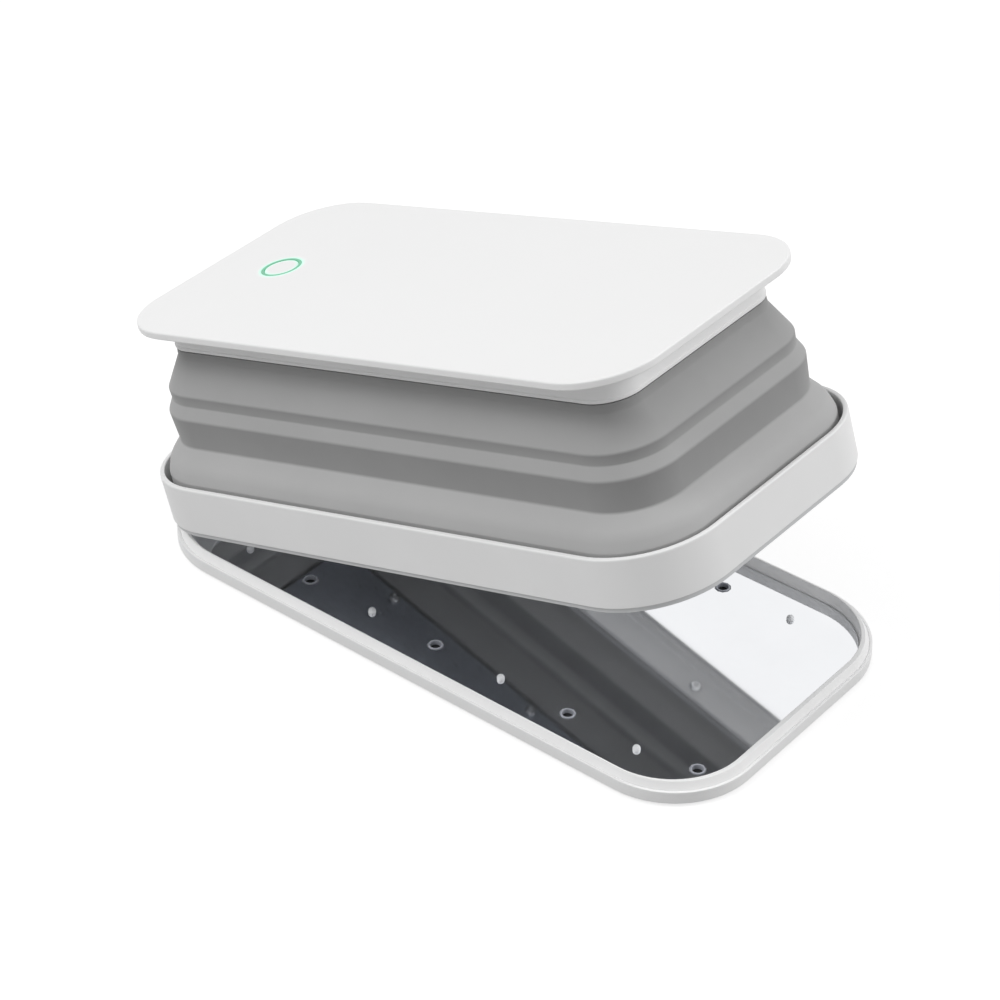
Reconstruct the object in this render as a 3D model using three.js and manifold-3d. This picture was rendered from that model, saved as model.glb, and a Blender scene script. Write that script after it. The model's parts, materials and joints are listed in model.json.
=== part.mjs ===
// Sanitizer box for phones: a shallow tray with a mirror floor, a hinged lid band, a folding
// silicone bellows that stands on the band, and a flat head with the lamps and the power button.
// Millimetres, +Z up. The origin is the middle of the tray's footprint, on the table.
// The tray's long side lies along X, the hinge is at the -X end and the lid opens at the +X end.

import * as THREE from "three";
import { mergeVertices } from "three/addons/utils/BufferGeometryUtils.js";
import Module from "manifold-3d";

const wasm = await Module();
wasm.setup();

// The outline that the tray and the lid band share
const boxLength = 200;
const boxWidth = 102.4;
const boxRadius = 25.7;

// Clearances, the cut overrun, and how finely round shapes are divided
const fitGap = 0.3;
const partingGap = 0.2;
const overrun = 1;
const cornerSteps = 6;
const roundSteps = 10;
const fineSteps = 24;
const screwSteps = 8;
const edgeSteps = 3;

// Tray
const trayWallHeight = 4;
const trayEdgeChamfer = 0.5;
const trayFloorThickness = 1.2;
const ledgeWidth = 1.2;
const lipHeight = 2.1;
const lipSlopeRun = 1.1;
const wellEndInset = 3.6;
const wellSideInset = 2.7;
const wellRadius = 22.8;

// Rubber pad under the tray
const padEndInset = 12;
const padSideInset = 11.2;
const padRadius = 16;
const padThickness = 1.2;
const padSeatDepth = 0.5;
const padSeatGap = 0.1;
const padEdgeChamfer = 0.3;

// Mirror floor, and the marks along it
const mirrorThickness = 0.5;
const mirrorSeatGap = 0.1;
const markRowInset = 12.5;
const endEyeletInset = 8.4;
const endEyeletRowInset = 16.3;
const markPitchShare = 0.267;
const eyeletRadius = 2.15;
const eyeletBoreRadius = 1.6;
const eyeletRise = 0.2;
const studRadius = 1.1;
const studHeight = 1.5;
const studPinRadius = 0.6;
const studHoleDepth = 0.4;
const studPinEndGap = 0.1;

// Hinge at the -X end
const lidRestAngle = 17.2;
const hingeOut = 1.2;
const hingeDrop = 1.5;
const knuckleRadius = 2.2;
const pinRadius = 0.8;
const pinEndGap = 0.5;
const bandKnuckleWidth = 20;
const trayKnuckleWidth = 10;
const leafOut = 1.9;
const leafHeight = 4;

// Bar magnets at the +X end, two in the tray and two in the band
const magnetThickness = 1.2;
const magnetLength = 9.8;
const magnetHeight = 2.2;
const magnetCornerGap = 9.5;
const trayMagnetInset = 2;
const lidMagnetInset = 3;
const magnetHousingWall = 1.2;

// Lid band
const bandHeight = 15.7;
const bandWall = 1.5;
const bandSkirtWall = 0.9;
const bandFootStep = 0.4;
const bandFootHeight = 1;
const bandRimRound = 0.8;
const rimInnerChamfer = 0.3;
const shelfHeight = 5;
const shelfThickness = 1.5;
const shelfInset = 11;

// Silicone bellows, from the rim up: each slope and riser as a rise and an inward run
const bellowsWall = 1;
const bellowsRimGap = 1.55;
const rimDrop = 0.1;
const bottomFlangeWidth = 7.3;
const shoulderRise = 3.9;
const shoulderRun = 1.4;
const lowSlopeRise = 4.8;
const lowSlopeRun = 4.25;
const lowRiserRise = 9.3;
const lowRiserFlare = 0.7;
const highSlopeRise = 3.6;
const highSlopeRun = 1.95;
const highRiserRise = 3.1;
const highRiserFlare = 0.15;
const neckSlopeRise = 9.1;
const neckSlopeRun = 5.2;
const neckRise = 2.4;
const neckRun = 0.3;
const topFlangeWidth = 6.7;

// Frame that clamps the bellows to the band
const clampThickness = 1.5;
const clampSideShare = 0.21;
const clampEndShare = 0.137;

// Screws: the clamp and head screws, and the small ones of the boards
const screwHeadRadius = 1.8;
const screwHeadHeight = 0.9;
const screwRadius = 0.9;
const screwSocketRadius = 0.9;
const screwSocketDepth = 0.5;
const smallScrewHeadRadius = 1.4;
const smallScrewHeadHeight = 0.8;
const smallScrewRadius = 0.7;
const smallScrewSocketRadius = 0.7;
const smallScrewSocketDepth = 0.4;

// Head: collar, plate, reflector panel
const collarHeight = 8;
const collarWall = 1.8;
const collarLedgeThickness = 1.3;
const plateEndInset = 6.95;
const plateSideInset = 5.7;
const plateRadius = 20;
const plateThickness = 2.3;
const plateEdgeRound = 0.6;
const plateEdgeChamfer = 0.4;
const headBossRadius = 2;
const headBossGap = 0.4;
const headBossRoof = 0.9;
const headScrewEndInset = 42;
const panelThickness = 1.2;
const panelEdgeGap = 1.9;

// Lamps and their board
const ledBoardEndInset = 38;
const ledBoardSideInset = 37.2;
const ledBoardThickness = 1.2;
const ledSize = 3.5;
const ledHeight = 1.1;
const ledPitchShare = 0.387;
const ledRowShare = 0.32;
const windowRadius = 3.2;

// Main board and what it carries
const mainBoardLength = 50;
const mainBoardSideInset = 24.2;
const mainBoardRadius = 6;
const mainBoardThickness = 1;
const mainBossRadius = 1.9;
const mainBossEdge = 6.5;
const mainBossSide = 7;
const socketLength = 7.3;
const socketWidth = 8.9;
const socketHeight = 3.2;
const socketWall = 0.3;
const socketDepth = 5.2;
const socketTongueWidth = 6.4;
const socketTongueHeight = 0.7;
const socketTongueSetback = 0.6;
const connectorLength = 12;
const connectorWidth = 4;
const connectorSetback = 9.4;
const batteryLength = 52;
const batteryWidth = 34;
const batteryThickness = 4.6;
const batteryRadius = 1.5;
const batteryEndInset = 64;

// Power button, its light ring and its switch
const buttonEndInset = 33.6;
const lightRingRadius = 6;
const lightRingBore = 5.3;
const lightRingFlangeRadius = 7.3;
const lightRingFlangeThickness = 1.1;
const buttonFlangeOverlap = 0.8;
const buttonFlangeThickness = 0.8;
const buttonRecess = 0.1;
const buttonEdgeChamfer = 0.25;
const buttonTravel = 0.5;
const switchSize = 4.5;
const switchBodyHeight = 0.9;
const plungerRadius = 1;

// Lengths, widths and places that follow the shared outline
const wellLength = boxLength - 2 * wellEndInset;
const wellWidth = boxWidth - 2 * wellSideInset;
const padLength = boxLength - 2 * padEndInset;
const padWidth = boxWidth - 2 * padSideInset;
const plateLength = boxLength - 2 * plateEndInset;
const plateWidth = boxWidth - 2 * plateSideInset;
const markRowPlace = wellWidth / 2 - markRowInset;
const endEyeletPlace = wellLength / 2 - endEyeletInset;
const endEyeletRow = wellWidth / 2 - endEyeletRowInset;
const markPitch = markPitchShare * endEyeletPlace;
const magnetPlace = boxWidth / 2 - boxRadius - magnetCornerGap;
const clampSidePlace = clampSideShare * boxLength;
const clampEndRow = clampEndShare * boxWidth;
const headScrewPlace = boxLength / 2 - headScrewEndInset;
const ledBoardLength = boxLength - 2 * ledBoardEndInset;
const ledBoardWidth = boxWidth - 2 * ledBoardSideInset;
const ledPitch = ledPitchShare * ledBoardLength;
const ledRowPlace = ledRowShare * ledBoardWidth;
const mainBoardWidth = boxWidth - 2 * mainBoardSideInset;
const batteryPlace = boxLength / 2 - batteryEndInset;
const buttonPlace = boxLength / 2 - buttonEndInset;

// Levels of the tray, above the table
const trayBottom = padThickness - padSeatDepth + padSeatGap;
const floorTop = trayBottom + trayFloorThickness;
const ledgeTop = trayBottom + trayWallHeight;
const lipTop = ledgeTop + lipHeight;
const lipTopInset = ledgeWidth + lipSlopeRun;
const mirrorBottom = floorTop + mirrorSeatGap;
const mirrorTop = mirrorBottom + mirrorThickness;

// Hinge axis, and the closed lid's zero level, its lower edge
const hingeX = -boxLength / 2 - hingeOut;
const hingeZ = ledgeTop - hingeDrop;
const lidZero = ledgeTop + partingGap;
const hingeLevel = hingeZ - lidZero;

// Levels of the lid, above the band's lower edge
const rebateTop = lipHeight - partingGap + fitGap;
const shelfTop = shelfHeight + shelfThickness;
const bottomFlangeLevel = shelfTop + fitGap;
const clampBottom = bottomFlangeLevel + bellowsWall + fitGap;
const rimLevel = bandHeight - rimDrop;
const shoulderLevel = rimLevel + shoulderRise;
const lowValleyLevel = shoulderLevel + lowSlopeRise;
const lowRidgeLevel = lowValleyLevel + lowRiserRise;
const highValleyLevel = lowRidgeLevel + highSlopeRise;
const highRidgeLevel = highValleyLevel + highRiserRise;
const neckFootLevel = highRidgeLevel + neckSlopeRise;
const neckLevel = neckFootLevel + neckRise;
const collarBottom = neckLevel + fitGap;
const collarLedgeTop = collarBottom + collarLedgeThickness;
const collarTop = collarBottom + collarHeight;
const plateBottom = collarTop + fitGap;
const plateTop = plateBottom + plateThickness;
const panelTop = neckLevel - bellowsWall - fitGap;
const panelBottom = panelTop - panelThickness;
const ledBoardBottom = panelTop + fitGap;
const ledBoardTop = ledBoardBottom + ledBoardThickness;
const mainBoardBottom = collarLedgeTop + fitGap;
const mainBoardTop = mainBoardBottom + mainBoardThickness;
const ringFlangeTop = plateBottom - fitGap;
const ringBottom = ringFlangeTop - lightRingFlangeThickness;
const buttonFlangeTop = ringBottom - fitGap;
const buttonBottom = buttonFlangeTop - buttonFlangeThickness;
const plungerTop = buttonBottom - buttonTravel - fitGap;

// Insets of the lid's rings from the shared outline
const rimInset = bandWall + bellowsRimGap;
const shoulderInset = rimInset + shoulderRun;
const lowValleyInset = shoulderInset + lowSlopeRun;
const lowRidgeInset = lowValleyInset - lowRiserFlare;
const highValleyInset = lowRidgeInset + highSlopeRun;
const highRidgeInset = highValleyInset - highRiserFlare;
const neckFootInset = highRidgeInset + neckSlopeRun;
const neckInset = neckFootInset + neckRun;
const topFlangeInset = neckInset + topFlangeWidth;
const bottomFlangeInset = rimInset + bottomFlangeWidth;
const clampOuterInset = rimInset + bellowsWall + fitGap;
const clampScrewInset = (clampOuterInset + bottomFlangeInset) / 2;
const collarInnerInset = neckInset + collarWall;
const headScrewInset = collarInnerInset + headBossGap + headBossRadius;
const panelInset = neckInset + panelEdgeGap;

// Looks of the pieces
const finish = (color, roughness, metalness) =>
  new THREE.MeshStandardMaterial({ color, roughness, metalness });
const whiteShell = finish(0xe9e9e8, 0.42, 0);
const whitePlate = finish(0xf0f0ef, 0.38, 0);
const greySilicone = finish(0xa9acae, 0.6, 0);
const padRubber = finish(0x8d9092, 0.85, 0);
const mirrorSheet = finish(0xdfe4e8, 0.04, 1);
const clearRing = finish(0xa8f0d8, 0.3, 0);
const steel = finish(0xb4b6b8, 0.3, 1);
const magnetMetal = finish(0x9a9c9e, 0.35, 1);
const boardGreen = finish(0x2f6a4a, 0.5, 0);
const lampCeramic = finish(0xe8e2c8, 0.4, 0);
const batteryFoil = finish(0xb9bcc0, 0.4, 0.5);
const blackPlastic = finish(0x2a2a2c, 0.5, 0);

// A closed geometry with shared corners, no empty triangles and its faces pointing out
function closedGeometry(source) {
  const bare = source.clone();
  bare.deleteAttribute("normal");
  bare.deleteAttribute("uv");
  const merged = mergeVertices(bare);
  const corners = merged.attributes.position;
  const index = merged.index.array;
  const faces = [];
  let volume = 0;
  for (let i = 0; i < index.length; i += 3) {
    const [a, b, c] = [index[i], index[i + 1], index[i + 2]];
    if (a === b || b === c || c === a) continue;
    faces.push([a, b, c]);
    const [p, q, r] = [a, b, c].map((k) => new THREE.Vector3().fromBufferAttribute(corners, k));
    volume += p.dot(q.cross(r));
  }
  const turned = volume < 0 ? faces.map(([a, b, c]) => [a, c, b]) : faces;
  const geometry = new THREE.BufferGeometry();
  geometry.setAttribute("position", corners);
  geometry.setIndex(turned.flat());
  return geometry;
}

function solidOf(geometry) {
  const closed = closedGeometry(geometry);
  return new wasm.Manifold(new wasm.Mesh({
    numProp: 3,
    vertProperties: new Float32Array(closed.attributes.position.array),
    triVerts: new Uint32Array(closed.index.array),
  }));
}

function geometryOf(solid) {
  const mesh = solid.getMesh();
  const geometry = new THREE.BufferGeometry();
  geometry.setAttribute("position", new THREE.BufferAttribute(mesh.vertProperties, 3));
  geometry.setIndex(Array.from(mesh.triVerts));
  return geometry;
}

const joinCut = (first, added, removed) => {
  let solid = solidOf(first);
  for (const piece of added) solid = solid.add(solidOf(piece));
  for (const piece of removed) solid = solid.subtract(solidOf(piece));
  return geometryOf(solid);
};

// Points of a rounded rectangle, the same count for every size, so that rings can be joined
function outlinePoints(length, width, radius) {
  const points = [];
  const corners = [[1, 1], [-1, 1], [-1, -1], [1, -1]];
  corners.forEach(([sideX, sideY], quarter) => {
    const centreX = sideX * (length / 2 - radius);
    const centreY = sideY * (width / 2 - radius);
    for (let step = 0; step <= cornerSteps; step += 1) {
      const angle = (quarter + step / cornerSteps) * (Math.PI / 2);
      points.push([centreX + radius * Math.cos(angle), centreY + radius * Math.sin(angle)]);
    }
  });
  return points;
}

// Points of the shared outline drawn in by an inset
const insetPoints = (inset) =>
  outlinePoints(boxLength - 2 * inset, boxWidth - 2 * inset, boxRadius - inset);

function joinRings(rings, closesOnItself) {
  const count = rings[0].length;
  const positions = rings.flat(2);
  const faces = [];
  const last = closesOnItself ? rings.length : rings.length - 1;
  for (let ring = 0; ring < last; ring += 1) {
    const low = ring * count;
    const high = ((ring + 1) % rings.length) * count;
    for (let k = 0; k < count; k += 1) {
      const next = (k + 1) % count;
      faces.push(low + k, low + next, high + next, low + k, high + next, high + k);
    }
  }
  if (!closesOnItself) {
    const top = (rings.length - 1) * count;
    for (let k = 1; k < count - 1; k += 1) {
      faces.push(0, k + 1, k);
      faces.push(top, top + k, top + k + 1);
    }
  }
  const geometry = new THREE.BufferGeometry();
  geometry.setAttribute("position", new THREE.Float32BufferAttribute(positions, 3));
  geometry.setIndex(faces);
  return closedGeometry(geometry);
}

// A ring of the shared outline, swept from a closed profile of [inset, level] points
const ringSolid = (profile) =>
  joinRings(profile.map(([inset, z]) => insetPoints(inset).map(([x, y]) => [x, y, z])), true);

// A solid block with flat ends, from levels of [length, width, radius, z]
const blockSolid = (levels) =>
  joinRings(levels.map(([length, width, radius, z]) =>
    outlinePoints(length, width, radius).map(([x, y]) => [x, y, z])), false);

// The same, with its ends' edges chamfered
const chamferedBlock = (length, width, radius, bottom, top, lowChamfer, highChamfer) => blockSolid([
  [length - 2 * lowChamfer, width - 2 * lowChamfer, radius - lowChamfer, bottom],
  [length, width, radius, bottom + lowChamfer],
  [length, width, radius, top - highChamfer],
  [length - 2 * highChamfer, width - 2 * highChamfer, radius - highChamfer, top],
]);

const insetBlock = (inset, bottom, top) => blockSolid([
  [boxLength - 2 * inset, boxWidth - 2 * inset, boxRadius - inset, bottom],
  [boxLength - 2 * inset, boxWidth - 2 * inset, boxRadius - inset, top],
]);

const box = (lowX, highX, lowY, highY, lowZ, highZ) =>
  new THREE.BoxGeometry(highX - lowX, highY - lowY, highZ - lowZ)
    .translate((lowX + highX) / 2, (lowY + highY) / 2, (lowZ + highZ) / 2);

const post = (x, y, bottom, top, radius, steps = roundSteps) =>
  new THREE.CylinderGeometry(radius, radius, top - bottom, steps)
    .rotateX(Math.PI / 2)
    .translate(x, y, (bottom + top) / 2);

// A round bar along Y
const bar = (x, z, lowY, highY, radius, steps = fineSteps) =>
  new THREE.CylinderGeometry(radius, radius, highY - lowY, steps)
    .translate(x, (lowY + highY) / 2, z);

// A turned piece from its [radius, level] points, which start and end on the axis
const turned = (points, x, y, steps) =>
  new THREE.LatheGeometry(points.map(([radius, z]) => new THREE.Vector2(radius, z)), steps)
    .rotateX(Math.PI / 2)
    .translate(x, y, 0);

// Tray
const sides = [-1, 1];
const studPlaces = [markPitch, -markPitch, 3 * markPitch, -3 * markPitch];
const rows = [-markRowPlace, markRowPlace];
const eyeletPlaces = [
  ...rows.flatMap((y) => [0, 2 * markPitch, -2 * markPitch].map((x) => [x, y])),
  ...[endEyeletPlace, -endEyeletPlace].map((x) => [x, -endEyeletRow]),
];

const bandKnuckleReach = bandKnuckleWidth / 2;
const trayKnuckleStart = bandKnuckleReach + fitGap;
const trayKnuckleEnd = trayKnuckleStart + trayKnuckleWidth;
const sweepRadius = knuckleRadius + fitGap;
const pinBoreRadius = pinRadius + fitGap;

const magnetSlot = (inset, side, bottom, top) => box(
  boxLength / 2 - inset - magnetThickness / 2 - fitGap,
  boxLength / 2 - inset + magnetThickness / 2 + fitGap,
  side * magnetPlace - magnetLength / 2 - fitGap,
  side * magnetPlace + magnetLength / 2 + fitGap,
  bottom,
  top,
);

const magnetBar = (inset, side, bottom) => box(
  boxLength / 2 - inset - magnetThickness / 2,
  boxLength / 2 - inset + magnetThickness / 2,
  side * magnetPlace - magnetLength / 2,
  side * magnetPlace + magnetLength / 2,
  bottom,
  bottom + magnetHeight,
);

function baseTray() {
  const shell = chamferedBlock(
    boxLength, boxWidth, boxRadius, trayBottom, ledgeTop, trayEdgeChamfer, 0);
  const lip = blockSolid([
    [boxLength - 2 * ledgeWidth, boxWidth - 2 * ledgeWidth, boxRadius - ledgeWidth, floorTop],
    [boxLength - 2 * ledgeWidth, boxWidth - 2 * ledgeWidth, boxRadius - ledgeWidth, ledgeTop],
    [boxLength - 2 * lipTopInset, boxWidth - 2 * lipTopInset, boxRadius - lipTopInset, lipTop],
  ]);
  const well = blockSolid([
    [wellLength, wellWidth, wellRadius, floorTop],
    [wellLength, wellWidth, wellRadius, lipTop + overrun],
  ]);
  const padSeat = blockSolid([
    [padLength + 2 * fitGap, padWidth + 2 * fitGap, padRadius + fitGap, trayBottom - overrun],
    [padLength + 2 * fitGap, padWidth + 2 * fitGap, padRadius + fitGap, trayBottom + padSeatDepth],
  ]);
  const hollow = joinCut(shell, [lip], [well, padSeat]);

  const eyeletTop = mirrorTop + eyeletRise;
  const eyelets = eyeletPlaces.map(([x, y]) =>
    post(x, y, floorTop - padSeatGap, eyeletTop, eyeletRadius));
  const bores = eyeletPlaces.map(([x, y]) =>
    post(x, y, floorTop, eyeletTop + overrun, eyeletBoreRadius));
  const studHoles = rows.flatMap((y) => studPlaces.map((x) =>
    post(x, y, floorTop - studHoleDepth, floorTop + overrun, studPinRadius + fitGap)));

  const knuckles = sides.map((side) => bar(hingeX, hingeZ,
    Math.min(side * trayKnuckleStart, side * trayKnuckleEnd),
    Math.max(side * trayKnuckleStart, side * trayKnuckleEnd), knuckleRadius));
  const pinBore = bar(hingeX, hingeZ, -trayKnuckleEnd - overrun, trayKnuckleEnd + overrun,
    pinBoreRadius, roundSteps);
  const lidSweep = bar(hingeX, hingeZ, -trayKnuckleStart, trayKnuckleStart, sweepRadius);
  const slots = sides.map((side) => magnetSlot(
    trayMagnetInset, side, trayBottom - overrun, trayBottom + magnetHeight + 2 * fitGap));
  return joinCut(hollow, [...eyelets, ...knuckles],
    [...bores, ...studHoles, pinBore, lidSweep, ...slots]);
}

const basePad = () => chamferedBlock(
  padLength, padWidth, padRadius, 0, padThickness, padEdgeChamfer, 0);

function mirrorFloor() {
  const sheet = blockSolid([mirrorBottom, mirrorTop].map((z) =>
    [wellLength - 2 * fitGap, wellWidth - 2 * fitGap, wellRadius - fitGap, z]));
  const hole = (x, y, radius) => post(x, y, mirrorBottom - overrun, mirrorTop + overrun, radius);
  const eyeletHoles = eyeletPlaces.map(([x, y]) => hole(x, y, eyeletRadius + fitGap));
  const studHoles = rows.flatMap((y) => studPlaces.map((x) => hole(x, y, studPinRadius + fitGap)));
  return joinCut(sheet, [], [...eyeletHoles, ...studHoles]);
}

// A round-topped stud that keeps the phone off the mirror, on a pin in the tray's floor
function phoneStud(x, y) {
  const top = mirrorTop + studHeight;
  const dome = [];
  for (let step = 0; step <= edgeSteps; step += 1) {
    const angle = (step / edgeSteps) * (Math.PI / 2);
    dome.push([studRadius * Math.sin(angle), top - studRadius + studRadius * Math.cos(angle)]);
  }
  const seat = mirrorTop + mirrorSeatGap;
  const pinEnd = floorTop - studHoleDepth + studPinEndGap;
  const stem = [[studRadius, seat], [studPinRadius, seat], [studPinRadius, pinEnd], [0, pinEnd]];
  return turned([...dome, ...stem], x, y, roundSteps);
}

const hingePin = () => bar(
  hingeX, hingeZ, -trayKnuckleEnd + pinEndGap, trayKnuckleEnd - pinEndGap, pinRadius, roundSteps);

// Lid band, its shelf for the bellows, its knuckle and its magnet housings
const clampScrewPlaces = [
  ...sides.flatMap((side) => [clampSidePlace, -clampSidePlace].map((x) =>
    [x, side * (boxWidth / 2 - clampScrewInset)])),
  ...sides.flatMap((end) => [clampEndRow, -clampEndRow].map((y) =>
    [end * (boxLength / 2 - clampScrewInset), y])),
];

function lidBand() {
  const rim = [];
  for (let step = 0; step <= edgeSteps; step += 1) {
    const angle = (step / edgeSteps) * (Math.PI / 2);
    rim.push([
      bandRimRound * (1 - Math.cos(angle)),
      bandHeight - bandRimRound + bandRimRound * Math.sin(angle),
    ]);
  }
  const ring = ringSolid([
    [bandFootStep, 0],
    [bandFootStep, bandFootHeight],
    [0, bandFootHeight],
    ...rim,
    [bandWall - rimInnerChamfer, bandHeight],
    [bandWall, bandHeight - rimInnerChamfer],
    [bandWall, shelfTop],
    [shelfInset, shelfTop],
    [shelfInset, shelfHeight],
    [bandWall, shelfHeight],
    [bandWall, rebateTop],
    [bandSkirtWall, rebateTop],
    [bandSkirtWall, 0],
  ]);
  const knuckle = bar(hingeX, hingeLevel, -bandKnuckleReach, bandKnuckleReach, knuckleRadius);
  const leaf = box(-boxLength / 2 - leafOut, -boxLength / 2 + bandSkirtWall,
    -bandKnuckleReach, bandKnuckleReach, 0, leafHeight);
  const housings = sides.map((side) => box(
    boxLength / 2 - lidMagnetInset - magnetThickness / 2 - fitGap - magnetHousingWall,
    boxLength / 2 - bandSkirtWall,
    side * magnetPlace - magnetLength / 2 - fitGap - magnetHousingWall,
    side * magnetPlace + magnetLength / 2 + fitGap + magnetHousingWall,
    rebateTop,
    shelfTop - fitGap,
  ));
  const slots = sides.map((side) =>
    magnetSlot(lidMagnetInset, side, rebateTop - overrun, rebateTop + magnetHeight + 2 * fitGap));
  const pinBore = bar(hingeX, hingeLevel, -bandKnuckleReach - overrun, bandKnuckleReach + overrun,
    pinBoreRadius, roundSteps);
  const traySweeps = sides.map((side) => bar(hingeX, hingeLevel,
    Math.min(side * bandKnuckleReach, side * (trayKnuckleEnd + fitGap)),
    Math.max(side * bandKnuckleReach, side * (trayKnuckleEnd + fitGap)), sweepRadius));
  const screwHoles = clampScrewPlaces.map(([x, y]) =>
    post(x, y, shelfHeight - overrun, shelfTop + overrun, screwRadius + fitGap));
  return joinCut(ring, [knuckle, leaf, ...housings], [...slots, pinBore, ...traySweeps, ...screwHoles]);
}

// Screws that hold the head together go up near the collar's long walls
const headScrewPlaces = sides.flatMap((side) => [-headScrewPlace, 0, headScrewPlace].map((x) =>
  [x, side * (boxWidth / 2 - headScrewInset)]));

// The inner side of a bent wall: its outer [inset, level] points moved square to the wall
function innerSide(points, wall) {
  const steps = points.slice(1).map(([inset, z], k) => {
    const run = inset - points[k][0];
    const rise = z - points[k][1];
    const size = Math.hypot(run, rise);
    return [rise / size, -run / size];
  });
  return points.map(([inset, z], k) => {
    const before = steps[Math.max(k - 1, 0)];
    const after = steps[Math.min(k, steps.length - 1)];
    const sum = [before[0] + after[0], before[1] + after[1]];
    const reach = (2 * wall) / (sum[0] * sum[0] + sum[1] * sum[1]);
    return [inset + sum[0] * reach, z + sum[1] * reach];
  });
}

function bellows() {
  const outer = [
    [bottomFlangeInset, bottomFlangeLevel],
    [rimInset, bottomFlangeLevel],
    [rimInset, rimLevel],
    [shoulderInset, shoulderLevel],
    [lowValleyInset, lowValleyLevel],
    [lowRidgeInset, lowRidgeLevel],
    [highValleyInset, highValleyLevel],
    [highRidgeInset, highRidgeLevel],
    [neckFootInset, neckFootLevel],
    [neckInset, neckLevel],
    [topFlangeInset, neckLevel],
  ];
  const sleeve = ringSolid([...outer, ...innerSide(outer, bellowsWall).reverse()]);
  const lowHoles = clampScrewPlaces.map(([x, y]) =>
    post(x, y, bottomFlangeLevel - overrun, clampBottom, screwRadius + fitGap));
  const highHoles = headScrewPlaces.map(([x, y]) =>
    post(x, y, panelTop, collarBottom, screwRadius + fitGap));
  return joinCut(sleeve, [], [...lowHoles, ...highHoles]);
}

function bellowsClamp() {
  const top = clampBottom + clampThickness;
  const frame = ringSolid([
    [clampOuterInset, clampBottom],
    [clampOuterInset, top],
    [bottomFlangeInset, top],
    [bottomFlangeInset, clampBottom],
  ]);
  return joinCut(frame, [], clampScrewPlaces.map(([x, y]) =>
    post(x, y, clampBottom - overrun, top + overrun, screwRadius + fitGap)));
}

// A screw whose head's outer face is at headLevel and whose tip is at tipLevel
function screw(x, y, headLevel, tipLevel, sizes) {
  const way = Math.sign(tipLevel - headLevel);
  const under = headLevel + way * sizes.headHeight;
  return turned([
    [0, headLevel + way * sizes.socketDepth],
    [sizes.socketRadius, headLevel + way * sizes.socketDepth],
    [sizes.socketRadius, headLevel],
    [sizes.headRadius, headLevel],
    [sizes.headRadius, under],
    [sizes.radius, under],
    [sizes.radius, tipLevel],
    [0, tipLevel],
  ], x, y, screwSteps);
}

const mainScrew = {
  headRadius: screwHeadRadius,
  headHeight: screwHeadHeight,
  radius: screwRadius,
  socketRadius: screwSocketRadius,
  socketDepth: screwSocketDepth,
};
const smallScrew = {
  headRadius: smallScrewHeadRadius,
  headHeight: smallScrewHeadHeight,
  radius: smallScrewRadius,
  socketRadius: smallScrewSocketRadius,
  socketDepth: smallScrewSocketDepth,
};

const clampScrew = ([x, y]) => screw(x, y, shelfHeight - fitGap - screwHeadHeight,
  clampBottom + clampThickness - fitGap, mainScrew);

// Head: collar with an inner ledge, and the opening for the charging socket
const socketMouth = -boxLength / 2 + neckInset + partingGap;
const socketBottom = mainBoardTop + fitGap;

function headCollar() {
  const ring = ringSolid([
    [neckInset, collarBottom],
    [neckInset, collarTop],
    [collarInnerInset, collarTop],
    [collarInnerInset, collarLedgeTop],
    [topFlangeInset, collarLedgeTop],
    [topFlangeInset, collarBottom],
  ]);
  const socketHole = box(socketMouth - overrun, socketMouth + collarWall + overrun,
    -socketWidth / 2 - fitGap, socketWidth / 2 + fitGap,
    socketBottom - fitGap, socketBottom + socketHeight + fitGap);
  return joinCut(ring, [], [socketHole, ...headScrewPlaces.map(([x, y]) =>
    post(x, y, collarBottom - overrun, collarLedgeTop + overrun, screwRadius + fitGap))]);
}

// Main board's screws, at its corners
const mainBoardStart = -boxLength / 2 + collarInnerInset + fitGap;
const mainBoardEnd = mainBoardStart + mainBoardLength;
const mainBossPlaces = sides.flatMap((side) => [
  [mainBoardStart + mainBossEdge, side * (mainBoardWidth / 2 - mainBossSide)],
  [mainBoardEnd - mainBossEdge, side * (mainBoardWidth / 2 - mainBossSide)],
]);

function topPlate() {
  const rim = [];
  for (let step = 0; step <= edgeSteps; step += 1) {
    const angle = (step / edgeSteps) * (Math.PI / 2);
    const inset = plateEdgeRound * (1 - Math.cos(angle));
    const level = plateTop - plateEdgeRound + plateEdgeRound * Math.sin(angle);
    rim.push([plateLength - 2 * inset, plateWidth - 2 * inset, plateRadius - inset, level]);
  }
  const plate = blockSolid([
    [plateLength - 2 * plateEdgeChamfer, plateWidth - 2 * plateEdgeChamfer,
      plateRadius - plateEdgeChamfer, plateBottom],
    [plateLength, plateWidth, plateRadius, plateBottom + plateEdgeChamfer],
    ...rim,
  ]);
  const root = plateBottom + plateEdgeChamfer;
  const headBosses = headScrewPlaces.map(([x, y]) =>
    post(x, y, collarLedgeTop + fitGap, root, headBossRadius));
  const headBores = headScrewPlaces.map(([x, y]) =>
    post(x, y, collarLedgeTop - overrun, plateBottom - headBossRoof, screwRadius + fitGap));
  const mainBosses = mainBossPlaces.map(([x, y]) =>
    post(x, y, mainBoardTop + fitGap, root, mainBossRadius));
  const mainBores = mainBossPlaces.map(([x, y]) =>
    post(x, y, mainBoardTop - overrun, plateBottom - headBossRoof, smallScrewRadius + fitGap));
  const ringHole = post(-buttonPlace, 0, plateBottom - overrun, plateTop + overrun,
    lightRingRadius + fitGap, fineSteps);
  return joinCut(plate, [...headBosses, ...mainBosses], [...headBores, ...mainBores, ringHole]);
}

const headScrew = ([x, y]) => screw(x, y, panelBottom - fitGap - screwHeadHeight,
  plateBottom - headBossRoof - fitGap, mainScrew);

const mainBoardScrew = ([x, y]) => screw(x, y, mainBoardBottom - fitGap - smallScrewHeadHeight,
  plateBottom - headBossRoof - fitGap, smallScrew);

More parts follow.
